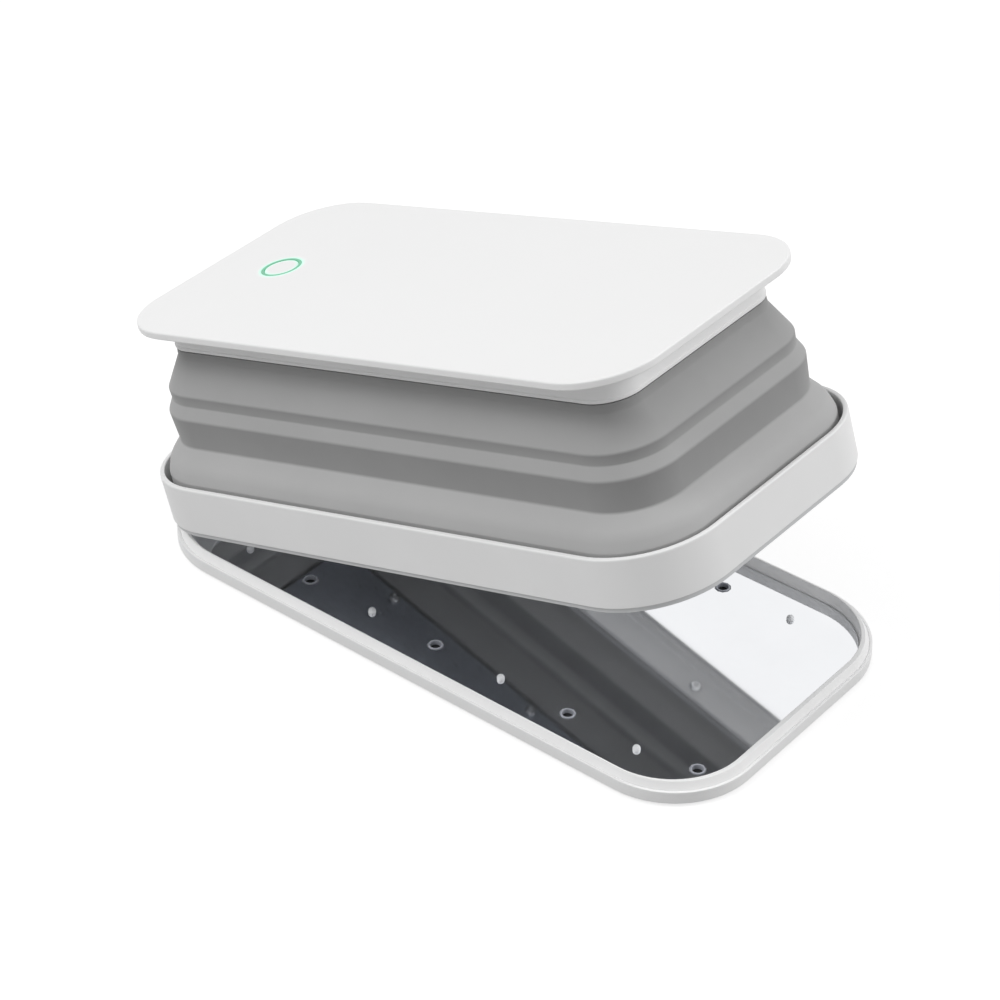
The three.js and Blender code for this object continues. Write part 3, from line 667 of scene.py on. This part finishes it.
class Finishes:
    """The finishes of this box, built once and shared."""

    def __init__(self, ring_centre: Triple, ring_middle: float) -> None:
        """Builds every material.

        Args:
            ring_centre: The middle of the light ring on the plate, in metres.
            ring_middle: The ring's middle radius, in metres.
        """
        self.shell = MouldedPlastic("shell_white_satin", linear(237, 237, 237), 0.42).material()
        # The tray's white is lighter than the shell's: painted light that makes up for the shade the
        # lid and floor put on the tray.
        self.tray = MouldedPlastic("tray_white_painted_light", linear(246, 246, 246), 0.42).material()
        # The plate's halo and glow are painted light from the ring.
        self.plate = HaloPlastic(
            "plate_white_smooth", linear(238, 238, 238), 0.36, ring_centre, ring_middle, 0.0023,
            linear(192, 250, 229), 0.16).material()
        self.clamp = MouldedPlastic("clamp_plastic", linear(205, 206, 207), 0.5).material()
        self.eyelet = MouldedPlastic(
            "eyelet_grey", linear(168, 171, 179), 0.35, grain_depth=0.000005).material()
        self.stud = MouldedPlastic(
            "stud_white", linear(224, 225, 227), 0.4, grain_depth=0.000005).material()
        self.black = MouldedPlastic("black_plastic", linear(38, 38, 40), 0.5).material()
        self.lamp = MouldedPlastic("lamp_ceramic", linear(232, 226, 200), 0.55, 3000.0).material()
        # The bellows' 0.58 is how dark the painted shade on its upright walls and neck is.
        self.silicone = Silicone("bellows_silicone", linear(177, 177, 177), 0.62, 0.58).material()
        self.pad = PaddedRubber("pad_rubber", linear(122, 124, 126), 900.0).material()
        self.mirror = MirrorFilm("mirror_sheet", (0.91, 0.92, 0.94), 0.05, 0.00002).material()
        # The reflector is the metal's own grey with a blue tint that paints the UV lamps' light.
        self.reflector = BrushedMetal(
            "reflector_sheet_blue_light", (0.82, 0.86, 0.94), 0.3, (0.05, 1, 1)).material()
        self.steel = BrushedMetal("plated_steel", (0.62, 0.63, 0.64), 0.3, (1, 1, 0.1)).material()
        self.magnet = BrushedMetal(
            "nickel_magnet", (0.58, 0.57, 0.55), 0.34, (1, 0.1, 1)).material()
        self.foil = BrushedMetal("battery_foil", (0.64, 0.65, 0.68), 0.42, (1, 0.4, 1)).material()
        self.board = SolderMask("circuit_board", linear(36, 96, 62)).material()
        self.glow = LitPlastic(
            "light_ring", linear(112, 184, 150), linear(110, 235, 185), 0.08).material()
        self.lens = LensGlass("lamp_lens", (0.95, 0.97, 1.0)).material()


@dataclass(frozen=True)
class LidPlace:
    """Where the closed lid's own coordinates lie in the frame, with the lid at rest.

    It needs the hinge's place in metres, the lid's angle in radians, and the band's lower edge
    above the table with the lid shut, in millimetres.
    """

    hinge: Vector
    angle: float
    zero: float

    def matrix(self) -> Matrix:
        """Gives the move from the closed lid's millimetres to the frame's metres."""
        turn = Matrix.Rotation(-self.angle, 4, "Y")
        lift = Matrix.Translation((0, 0, self.zero * MM))
        return (Matrix.Translation(self.hinge) @ turn @ Matrix.Translation(-self.hinge)
                @ lift @ Matrix.Scale(MM, 4))

    def point(self, x: float, y: float, level: float) -> Triple:
        """Gives a point of the closed lid, in the frame."""
        return tuple(self.matrix() @ Vector((x, y, level)))

    def down(self) -> Triple:
        """Gives the way in which the head folds down."""
        return math.sin(self.angle), 0, -math.cos(self.angle)

    def axis(self, y: float) -> Triple:
        """Gives a point of the hinge's axis, in the closed lid's millimetres."""
        return self.hinge.x / MM, y, self.hinge.z / MM - self.zero


def added(name: str, data: bpy.types.ID) -> Piece:
    """Adds an object to the scene.

    Args:
        name: Its name.
        data: What it shows.

    Returns:
        The object.
    """
    made = bpy.data.objects.new(name, data)
    bpy.context.scene.collection.objects.link(made)
    return made


@dataclass
class Assembly:
    """A group of pieces on one body, from meshes in the millimetres of the tray or shut lid."""

    lid: LidPlace
    looks: Finishes
    body: Body = Body.LID
    outline: Outline = Outline(200.0, 102.4, 25.7)
    knuckle_radius: float = 2.2
    gap: float = 0.3

    def placed(self, name: str, bm: Mesh) -> Piece:
        """Puts a mesh where it belongs in the scene.

        Args:
            name: Its name.
            bm: The mesh.

        Returns:
            Its object.
        """
        bmesh.ops.recalc_face_normals(bm, faces=bm.faces)
        mesh = bpy.data.meshes.new(name)
        bm.to_mesh(mesh)
        bm.free()
        mesh.transform(Matrix.Scale(MM, 4) if self.body is Body.BASE else self.lid.matrix())
        return added(name, mesh)

    def piece(self, name: str, bm: Mesh, look: Material, node: str, slot: str,
              cutters: Sequence[Mesh] = (), sharp: float = SHARP_ANGLE,
              body: Body | None = None) -> Piece:
        """Makes a piece from a mesh.

        Args:
            name: Its name.
            bm: The mesh.
            look: Its finish.
            node: The frame's node that it stands for, or nothing.
            slot: The record's material slot; not used.
            cutters: Closed shapes that are cut out of it.
            sharp: The angle in degrees past which an edge is sharp.
            body: The body that it rides on, the assembly's if left out.

        Returns:
            The piece.
        """
        bmesh.ops.remove_doubles(bm, verts=bm.verts, dist=WELD)
        made = self.placed(name, bm)
        made.data.materials.append(look)
        for cutter in cutters:
            tool = self.placed("cutter", cutter)
            cut = made.modifiers.new("cut", "BOOLEAN")
            cut.operation, cut.solver, cut.object = "DIFFERENCE", "EXACT", tool
            view = bpy.context.evaluated_depsgraph_get()
            result = bpy.data.meshes.new_from_object(made.evaluated_get(view))
            made.modifiers.clear()
            made.data = result
            bpy.data.objects.remove(tool)
        for polygon in made.data.polygons:
            polygon.use_smooth = True
        made.data.set_sharp_from_angle(angle=math.radians(sharp))
        made.modifiers.new("even_normals", "WEIGHTED_NORMAL").keep_sharp = True
        rider = (body or self.body).value
        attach(made, rider)
        if node:
            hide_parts(node)
        LOG.info("made %s on %s, %d faces", name, rider, len(made.data.polygons))
        return made


@dataclass
class Tray(Assembly):
    """The tray: shell with a sloped lip, hinge knuckles and pin, eyelets, studs and pad."""

    body: Body = Body.BASE
    well: Outline = Outline(192.8, 97.0, 22.8)
    foot: Outline = Outline(176.0, 80.0, 16.0)
    foot_top: float = 1.2
    bottom: float = 0.8
    bottom_land: float = 1.2
    ledge: float = 4.8
    lip: float = 6.9
    floor: float = 2.0
    mirror: float = 2.6
    slope_foot: float = 1.0
    slope_top: float = 2.15
    crease: float = 0.32
    pad_seat: float = 0.5
    mark_row: float = 36.0
    mark_pitch: float = 23.496
    end_eyelet: float = 88.0
    end_row: float = 32.2
    eyelet_radius: float = 2.1
    eyelet_bore: float = 1.6
    eyelet_rise: float = 0.3
    eyelet_bottom: float = 1.4
    shade_disc_height: float = 0.1
    stud_radius: float = 1.1
    stud_height: float = 1.5
    stud_pin: float = 0.6
    knuckle_start: float = 10.3
    knuckle_end: float = 20.3
    pin_radius: float = 0.8
    pin_reach: float = 20.55
    lid_gap: float = 0.2

    def build(self) -> None:
        """Builds and dresses the tray's pieces."""
        self.shell()
        self.knuckles()
        self.eyelets()
        self.studs()
        self.pad()

    def shell(self) -> None:
        """Builds the white shell: pad seat, wall, ledge, sloped lip and floor."""
        seat = self.foot.inset(-self.gap)
        wall = rounded([
            (self.bottom_land, self.bottom, 0), (0.0, self.bottom, 0.5), (0.0, self.ledge, 0.25),
            (self.slope_foot - self.crease, self.ledge, 0.1),
            (self.slope_foot, self.ledge - self.crease, 0.1), (self.slope_foot, self.ledge, 0.1),
            (self.slope_top, self.lip, 0.2), (self.slope_top + 0.2, self.lip, 0)], 6)
        inner = rounded([(-0.6, self.lip, 0), (0.0, self.lip, 0.3), (0.0, self.floor, 0)], 5)
        stations = [(seat, self.bottom + self.pad_seat), (seat, self.bottom + 0.1),
                    (seat.inset(-0.1), self.bottom)]
        stations += [(self.outline.inset(inset), level) for inset, level in wall]
        stations += [(self.well.inset(inset), level) for inset, level in inner[1:]]
        sweep = bmesh.new()
        rod(sweep, self.lid.hinge / MM, 2 * self.knuckle_start, self.knuckle_radius + self.gap)
        middle = (self.eyelet_bore + self.eyelet_radius) / 2
        sockets = turned([(0.0, self.eyelet_bottom), (middle, self.eyelet_bottom),
                          (middle, self.mirror), (0.0, self.mirror)], self.eyelet_places(), 32)
        self.piece(
            "tray_shell", skin(stations, closed=False), self.looks.tray, "base_tray",
            "shell_white", [sweep, sockets])

    def eyelet_places(self) -> list[Point]:
        """Gives the eyelets' places: three on each long side and two near the front corners."""
        places = [(x, side * self.mark_row) for side in (-1, 1)
                  for x in (0, 2 * self.mark_pitch, -2 * self.mark_pitch)]
        return places + [(end * self.end_eyelet, -self.end_row) for end in (-1, 1)]

    def knuckles(self) -> None:
        """Builds the two hinge knuckles and the pin through them."""
        axis = self.lid.hinge / MM
        length = self.knuckle_end - self.knuckle_start
        bm = bmesh.new()
        for side in (-1, 1):
            centre = axis + Vector((0, side * (self.knuckle_start + length / 2), 0))
            rod(bm, centre, length, self.knuckle_radius, 0.3)
        self.piece("tray_knuckles", bm, self.looks.tray, "base_tray", "shell_white")
        bm = bmesh.new()
        rod(bm, axis, 2 * self.pin_reach, self.pin_radius, 0.2)
        self.piece("hinge_pin_steel", bm, self.looks.steel, "hinge_pin", "steel")

    def eyelets(self) -> None:
        """Builds the hollow eyelets that hold the mirror floor, with dark discs in them as painted
        shade.
        """
        foot, top = self.eyelet_bottom, self.mirror + self.eyelet_rise
        ring = rounded([
            (self.eyelet_bore, foot, 0), (self.eyelet_bore, top, 0.2),
            (self.eyelet_radius, top, 0.25), (self.eyelet_radius, foot, 0)], 4)
        # The black discs low in the bores are painted shade: they darken holes where only shade
        # falls.
        shade_disc_radius, shade_disc_top = self.eyelet_bore - 0.05, foot + self.shade_disc_height
        shade_disc_profile = [(0.0, shade_disc_top), (shade_disc_radius, shade_disc_top), (shade_disc_radius, foot), (0.0, foot)]
        places = self.eyelet_places()
        self.piece(
            "tray_eyelets", turned(ring, places, 32), self.looks.eyelet, "base_tray",
            "shell_white")
        self.piece("eyelet_shade_discs", turned(shade_disc_profile, places, 32), self.looks.black, "", "pad_rubber")

    def studs(self) -> None:
        """Builds the round-topped studs that keep the phone off the mirror."""
        top, foot = self.mirror + self.stud_height, self.mirror + 0.05
        turns = [step * QUARTER_TURN / 8 for step in range(9)]
        profile = [(self.stud_radius * math.sin(turn),
                    top - self.stud_radius + self.stud_radius * math.cos(turn)) for turn in turns]
        profile += [(self.stud_radius, foot), (self.stud_pin, foot),
                    (self.stud_pin, self.floor), (0.0, self.floor)]
        places = [(x * self.mark_pitch, y) for y in (-self.mark_row, self.mark_row)
                  for x in (1, -1, 3, -3)]
        for number, place in enumerate(places, 1):
            self.piece(
                f"stud_{number}", turned(profile, [place], 32), self.looks.stud,
                f"phone_stud_{number}", "stud_white")

    def pad(self) -> None:
        """Builds the rubber pad that the box stands on."""
        bm = swept(self.foot, [
            (1.5, 0.0, 0), (0.0, 0.0, 0.4), (0.0, self.foot_top, 0.2), (1.5, self.foot_top, 0)],
            4, closed=False)
        self.piece("rubber_pad", bm, self.looks.pad, "base_pad", "pad_rubber")


@dataclass
class LidBand(Assembly):
    """The lid's stiff ring with its shelf, hinge leaf, magnet housings and bellows clamp."""

    height: float = 15.7
    wall: float = 1.5
    skirt_wall: float = 0.9
    foot_step: float = 0.5
    foot_height: float = 1.4
    rebate: float = 2.2
    shelf: float = 5.0
    shelf_top: float = 6.5
    shelf_inset: float = 11.0
    clamp_outer: float = 4.35
    clamp_inner: float = 10.35
    clamp_bottom: float = 8.1
    clamp_top: float = 9.6
    screw_inset: float = 7.35
    screw_side: float = 42.0
    screw_end: float = 14.03
    housing_place: float = 16.0
    housing_depth: float = 5.1
    housing_half: float = 6.4
    leaf_reach: float = 1.9
    leaf_top: float = 4.0
    knuckle_reach: float = 10.0
    sweep_length: float = 10.6

    def build(self) -> None:
        """Builds and dresses the band's pieces."""
        self.ring()
        self.foot()
        self.leaf()
        self.housings()
        self.clamp()
        self.screws()

    def ring(self) -> None:
        """Builds the ring with its rounded rim and inner shelf."""
        middle = (self.foot_step + self.skirt_wall) / 2
        bm = swept(self.outline, [
            (middle, self.foot_height, 0), (0.0, self.foot_height, 0.2), (0.0, self.height, 0.95),
            (self.wall, self.height, 0.4), (self.wall, self.shelf_top, 0.6),
            (self.shelf_inset, self.shelf_top, 0.3), (self.shelf_inset, self.shelf, 0.3),
            (self.wall, self.shelf, 0.6), (self.wall, self.rebate, 0.2),
            (self.skirt_wall, self.rebate, 0.1), (self.skirt_wall, self.foot_height, 0.05)], 8)
        self.piece("band_ring", bm, self.looks.shell, "lid_band", "shell_white")

    def foot(self) -> None:
        """Builds the foot, set back below the ring, with room for the tray's knuckles, in a darker
        grey that paints the recess's shade.
        """
        middle = (self.foot_step + self.skirt_wall) / 2
        inner = self.skirt_wall - 0.02
        top = self.foot_height + 0.2
        bm = swept(self.outline, [
            (middle, 0.0, 0), (self.foot_step, 0.0, 0.1), (self.foot_step, top, 0.05),
            (inner, top, 0.05), (inner, 0.0, 0.1)], 3)
        cutters = []
        for side in (-1, 1):
            sweep = bmesh.new()
            rod(sweep, self.lid.axis(side * (self.knuckle_reach + self.sweep_length / 2)),
                self.sweep_length, self.knuckle_radius + self.gap)
            cutters.append(sweep)
        # The clamp's darker grey on the foot is painted shade along the band's lower edge.
        self.piece("band_foot_painted_shade", bm, self.looks.clamp, "lid_band", "clamp_plastic", cutters)

    def leaf(self) -> None:
        """Builds the hinge knuckle with its leaf up the band."""
        bm = bmesh.new()
        rod(bm, self.lid.axis(0), 2 * self.knuckle_reach, self.knuckle_radius, 0.25)
        end = -self.outline.length / 2
        slab(bm, (end - self.leaf_reach, -self.knuckle_reach, 0.0),
             (end + self.skirt_wall, self.knuckle_reach, self.leaf_top), 0.5)
        self.piece("hinge_leaf", bm, self.looks.shell, "lid_band", "shell_white")

    def housings(self) -> None:
        """Builds the housings of the two magnets."""
        bm = bmesh.new()
        end = self.outline.length / 2
        for side in (-1, 1):
            y = side * self.housing_place
            slab(bm, (end - self.housing_depth, y - self.housing_half, self.rebate),
                 (end - self.skirt_wall - 0.1, y + self.housing_half, self.shelf + 0.2), 0.25)
        self.piece("magnet_housings", bm, self.looks.shell, "lid_band", "shell_white")

    def clamp(self) -> None:
        """Builds the frame that clamps the bellows' foot to the shelf."""
        bm = swept(self.outline, [
            (5.0, self.clamp_bottom, 0), (self.clamp_outer, self.clamp_bottom, 0.2),
            (self.clamp_outer, self.clamp_top, 0.4), (self.clamp_inner, self.clamp_top, 0.4),
            (self.clamp_inner, self.clamp_bottom, 0.2)], 3)
        self.piece("clamp_frame", bm, self.looks.clamp, "bellows_clamp", "clamp_plastic")

    def screws(self) -> None:
        """Builds the eight clamp screws, heads down."""
        end = self.outline.length / 2 - self.screw_inset
        row = self.outline.width / 2 - self.screw_inset
        places = [(side * self.screw_side, y) for y in (-row, row) for side in (1, -1)]
        places += [(x, side * self.screw_end) for x in (-end, end) for side in (1, -1)]
        for number, place in enumerate(places, 1):
            bm = pan_screw(place, self.shelf - self.gap, self.clamp_top - self.gap)
            self.piece(
                f"clamp_pan_screw_{number}", bm, self.looks.steel, f"clamp_screw_{number}",
                "steel")


@dataclass
class Bellows(Assembly):
    """The silicone bellows: two soft steps between the band's rim and the head's neck.

    The painted shades are pairs of a level and how much shade is painted on the wall there,
    from 0 on the low slopes to 1 on the lower upright wall.
    """

    outline: Outline = Outline(200.0, 102.4, 25.7, 24)
    thickness: float = 1.0
    foot_inset: float = 3.05
    foot_level: float = 6.8
    flange_inset: float = 10.35
    bend_level: float = 14.6
    neck_inset: float = 15.3
    neck_level: float = 51.8
    top_flange: float = 22.0
    travel: float = 35.0
    painted_shades: tuple[Point, ...] = (
        (23.9, 0.0), (25.1, 1.0), (33.0, 1.0), (34.3, 0.08), (36.7, 0.08), (37.9, 0.95),
        (39.9, 0.95), (41.2, 0.08), (47.4, 0.08), (50.2, 0.9))

    def build(self) -> None:
        """Builds the folded wall and the foot below it."""
        self.sleeve()
        self.foot()

    def sleeve(self) -> None:
        """Builds the folded wall."""
        outer = rounded([
            (self.foot_inset, self.bend_level, 0), (self.foot_inset, 15.6, 1.0),
            (4.45, 19.5, 9.0), (8.75, 24.3, 1.1), (8.0, 33.6, 1.6), (9.95, 37.2, 0.9),
            (9.75, 40.4, 1.4), (15.1, 49.4, 1.4), (self.neck_inset, self.neck_level, 0.15),
            (self.top_flange, self.neck_level, 0)], 9)
        bm = skin([(self.outline.inset(inset), level)
                   for inset, level in thickened(outer, self.thickness)], closed=True)
        # A vertex layer paints shade on the upright walls and the neck, by level.
        painted_shade = bm.verts.layers.float.new(SHADE_LAYER)
        levels, painted_shades = zip(*self.painted_shades)
        for vert in bm.verts:
            vert[painted_shade] = np.interp(vert.co.z, levels, painted_shades)
        made = self.piece(
            "bellows_sleeve", bm, self.looks.silicone, "bellows", "bellows_silicone", sharp=60.0)
        self.lid.down()
        self.lid.point(0, 0, self.bend_level)
        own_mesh(made)

    def foot(self) -> None:
        """Builds the wall and flange that sit in the band."""
        inner = self.foot_inset + self.thickness
        flange_top = self.foot_level + self.thickness
        bm = swept(self.outline, [
            (5.5, self.foot_level, 0), (self.foot_inset, self.foot_level, 0.4),
            (self.foot_inset, self.bend_level, 0.05), (inner, self.bend_level, 0.05),
            (inner, flange_top, 0.4), (self.flange_inset, flange_top, 0.2),
            (self.flange_inset, self.foot_level, 0.2)], 4)
        self.piece("bellows_foot", bm, self.looks.silicone, "bellows", "bellows_silicone")


@dataclass
class Head(Assembly):
    """The head: plate, collar, light ring, button, lamps and screws."""

    body: Body = Body.HEAD
    plate: Outline = Outline(186.1, 91.0, 20.0, 24)
    plate_bottom: float = 60.4
    plate_top: float = 62.7
    collar_inset: float = 15.3
    collar_bottom: float = 52.1
    collar_top: float = 60.1
    collar_wall: float = 1.8
    bead: float = 0.25
    ledge_inset: float = 22.0
    ledge_top: float = 53.4
    opening_low: Triple = (-90.0, -4.75, 55.6)
    opening_high: Triple = (-80.0, 4.75, 59.4)
    button_x: float = -66.4
    button_bottom: float = 57.9
    button_flange: float = 6.1
    button_shoulder: float = 58.7
    ring_radius: float = 6.0
    ring_bore: float = 5.2
    ring_flange: float = 7.3
    ring_foot: float = 1.1
    board_bottom: float = 50.8
    lamp_pitch: float = 47.99
    lamp_row: float = 8.96
    lamp_half: float = 1.75
    lamp_height: float = 0.55
    lens_radius: float = 1.4
    lens_height: float = 0.6
    screw_row: float = 31.7
    screw_pitch: float = 58.0
    screw_seat: float = 49.0
    screw_tip: float = 59.2

    def build(self) -> None:
        """Builds and dresses the head's pieces."""
        self.top()
        self.collar()
        self.light()
        self.button()
        self.lamps()
        self.screws()

    def top(self) -> None:
        """Builds the plate with its softly rounded edge and the hole for the ring."""
        bm = swept(self.plate, [
            (3.0, self.plate_bottom, 0), (0.0, self.plate_bottom, 0.5),
            (0.0, self.plate_top, 0.6), (3.0, self.plate_top, 0)], 8, closed=False)
        low, high, radius = self.plate_bottom - 2.4, self.plate_top + 1.3, self.ring_radius + 0.08
        hole = turned([(0, low), (radius, low), (radius, high), (0, high)],
                      [(self.button_x, 0)], 64)
        self.piece("plate", bm, self.looks.plate, "top_plate", "plate_white", [hole])

    def collar(self) -> None:
        """Builds the collar, with a bead round its foot and the socket's opening."""
        inset, bottom = self.collar_inset, self.collar_bottom
        inner, bead = inset + self.collar_wall, inset - self.bead
        bm = swept(self.outline, [
            (inset + 0.6, bottom, 0), (bead, bottom, 0.3), (bead, bottom + 0.9, 0.3),
            (inset, bottom + 1.2, 0.3), (inset, self.collar_top, 0.25),
            (inner, self.collar_top, 0.2), (inner, self.ledge_top, 0.2),
            (self.ledge_inset, self.ledge_top, 0.2), (self.ledge_inset, bottom, 0.2)], 4)
        opening = bmesh.new()
        slab(opening, self.opening_low, self.opening_high, 1.2)
        self.piece("collar", bm, self.looks.shell, "head_collar", "shell_white", [opening])

    def light(self) -> None:
        """Builds the lit ring in the plate."""
        top, shoulder = self.plate_top + 0.02, self.plate_bottom - self.gap
        bottom = shoulder - self.ring_foot
        profile = rounded([
            (self.ring_bore, bottom, 0), (self.ring_flange, bottom, 0.1),
            (self.ring_flange, shoulder, 0.1), (self.ring_radius, shoulder, 0.1),
            (self.ring_radius, top, 0.15), (self.ring_bore, top, 0)], 3)
        bm = turned([*profile, profile[0]], [(self.button_x, 0)], 64)
        self.piece("ring_light", bm, self.looks.glow, "light_ring", "light_ring")

    def button(self) -> None:
        """Builds the button's cap, slightly dished."""
        cap, top = self.ring_bore - 0.12, self.plate_top - 0.05
        profile = rounded([
            (0.0, self.button_bottom, 0), (self.button_flange, self.button_bottom, 0.1),
            (self.button_flange, self.button_shoulder, 0.1), (cap, self.button_shoulder, 0.1),
            (cap, top, 0.3), (cap * 0.6, top - 0.06, 0.8), (0.0, top - 0.1, 0)], 4)
        self.piece(
            "button_cap", turned(profile, [(self.button_x, 0)], 64), self.looks.plate,
            "power_button", "button_white", body=Body.BUTTON)

    def lamps(self) -> None:
        """Builds the six lamps, each a ceramic package with a clear dome."""
        half, top = self.lamp_half, self.board_bottom - self.gap
        bottom = top - self.lamp_height
        face = bottom - 0.01
        turns = [step * QUARTER_TURN / 6 for step in range(7)]
        dome = [(0.0, face)] + [
            (self.lens_radius * math.cos(turn), face - self.lens_height * math.sin(turn))
            for turn in turns]
        places = [(column * self.lamp_pitch, side * self.lamp_row)
                  for side in (-1, 1) for column in (-1, 0, 1)]
        for number, (x, y) in enumerate(places, 1):
            bm = bmesh.new()
            slab(bm, (x - half, y - half, bottom), (x + half, y + half, top), 0.1)
            lens = turned(dome, [(x, y)], 24)
            for name, mesh, look in (("lamp", bm, self.looks.lamp),
                                     ("lamp_lens", lens, self.looks.lens)):
                self.piece(f"{name}_{number}", mesh, look, f"uv_led_{number}", "lamp_ceramic")

    def screws(self) -> None:
        """Builds the six screws that hold the head together, heads down."""
        places = [(column * self.screw_pitch, side * self.screw_row)
                  for side in (-1, 1) for column in (-1, 0, 1)]
        for number, place in enumerate(places, 1):
            bm = pan_screw(place, self.screw_seat, self.screw_tip)
            self.piece(
                f"head_pan_screw_{number}", bm, self.looks.steel, f"head_screw_{number}", "steel")


@dataclass
class Studio:
    """The pale floor, the soft light and the photograph's camera, in metres."""

    eye: Triple = (0.4456, -0.5555, 0.5580)
    right: Triple = (0.775914, 0.630839, 0.0)
    up: Triple = (-0.374641, 0.460749, 0.804584)
    back: Triple = (0.507545, -0.624302, 0.593839)
    lens: float = 113.23
    sensor: float = 36.0
    sky: float = 0.54
    bounce: float = 0.38
    floor_half: float = 6.0
    floor_glow: float = 0.72
    floor_level: float = -0.05 * MM
    aim: Triple = (0.0, 0.0, 0.05)

    def build(self) -> None:
        """Builds the floor, the lamps, the world and the camera."""
        self.camera()
        self.floor()
        self.world()
        self.lamps()
        bpy.context.scene.view_settings.view_transform = "Standard"

    def camera(self) -> None:
        """Places the camera as the photograph's."""
        data = bpy.data.cameras.new("camera")
        data.lens, data.sensor_width, data.sensor_fit = self.lens, self.sensor, "HORIZONTAL"
        made = added("camera", data)
        turn = Matrix((self.right, self.up, self.back)).transposed().to_4x4()
        made.matrix_world = Matrix.Translation(self.eye) @ turn
        bpy.context.scene.camera = made

    def floor(self) -> None:
        """Builds the white floor, which keeps the box's shadow."""
        bm = bmesh.new()
        bmesh.ops.create_grid(bm, x_segments=1, y_segments=1, size=self.floor_half,
                              matrix=Matrix.Translation((0, 0, self.floor_level)))
        mesh = bpy.data.meshes.new("floor")
        bm.to_mesh(mesh)
        bm.free()
        shader = Shader("floor_white", Roughness=0.9, Specular_IOR_Level=0.0,
                        Emission_Color=(1.0, 1.0, 1.0, 1.0))
        shader.mottle(shader.noise(3.0, 2.0), (self.bounce, self.bounce, self.bounce), 0.99)
        glow = shader.math("MULTIPLY", shader.shown(), self.floor_glow)
        shader.feed("Emission Strength", glow)
        mesh.materials.append(shader.material)
        added("floor", mesh)

    def world(self) -> None:
        """Lights the box evenly and shows plain white behind it."""
        world = bpy.data.worlds.new("studio")
        bpy.context.scene.world = world
        world.use_nodes = True
        tree = Tree(world.node_tree)
        background = tree.nodes["Background"].inputs
        background["Color"].default_value = (1, 1, 1, 1)
        tree.links.new(tree.spread(tree.shown(), self.sky, 1.0), background["Strength"])

    def lamps(self) -> None:
        """Hangs square lamps that look at the box, each by its name, place, side and power."""
        for name, place, size, power in (
                ("top_light", (0.0, -0.1, 1.5), 0.7, 1.3),
                ("front_light", (-0.56, -0.76, 1.2), 0.6, 8.7),
                ("side_light", (0.94, 0.86, 0.76), 0.6, 7.7)):
            data = bpy.data.lights.new(name, "AREA")
            data.size, data.energy = size, power
            made = added(name, data)
            made.location = place
            way = Vector(place) - Vector(self.aim)
            made.rotation_euler = way.to_track_quat("Z", "Y").to_euler()


def dress_nodes(nodes: dict[str, Piece], looks: Finishes) -> None:
    """Gives the frame's own pieces their finishes.

    Args:
        nodes: The frame's pieces by name.
        looks: The finishes.
    """
    finishes = {
        "mirror_floor": looks.mirror, "reflector_panel": looks.reflector,
        "main_board": looks.board, "led_board": looks.board,
        "board_connector": looks.black, "tact_switch": looks.black,
        "charging_socket": looks.steel, "battery": looks.foil,
        "tray_magnet": looks.magnet, "lid_magnet": looks.magnet,
        "board_screw": looks.steel, "led_board_screw": looks.steel,
    }
    for name, node in nodes.items():
        material = finishes.get(name.rstrip("0123456789").rstrip("_"))
        if material:
            node.data.materials.clear()
            node.data.materials.append(material)
            LOG.info("dressed %s", name)


def main() -> None:
    """Builds the scene around the frame."""
    logging.basicConfig(level=logging.INFO, format="%(message)s")
    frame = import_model()
    Studio().build()
    hinge = next(joint for joint in frame["joints"] if joint["name"] == "lid_hinge")
    lid = LidPlace(Vector(hinge["pos_m"]), math.radians(-hinge["range_deg"][0]),
                   Tray.ledge + Tray.lid_gap)
    ring_centre = lid.point(Head.button_x, 0, Head.plate_top)
    looks = Finishes(ring_centre, (Head.ring_bore + Head.ring_radius) / 2 * MM)
    for assembly in (Tray, LidBand, Bellows, Head):
        assembly(lid, looks).build()
    dress_nodes(frame["nodes"], looks)


if __name__ == "__main__":
    main()
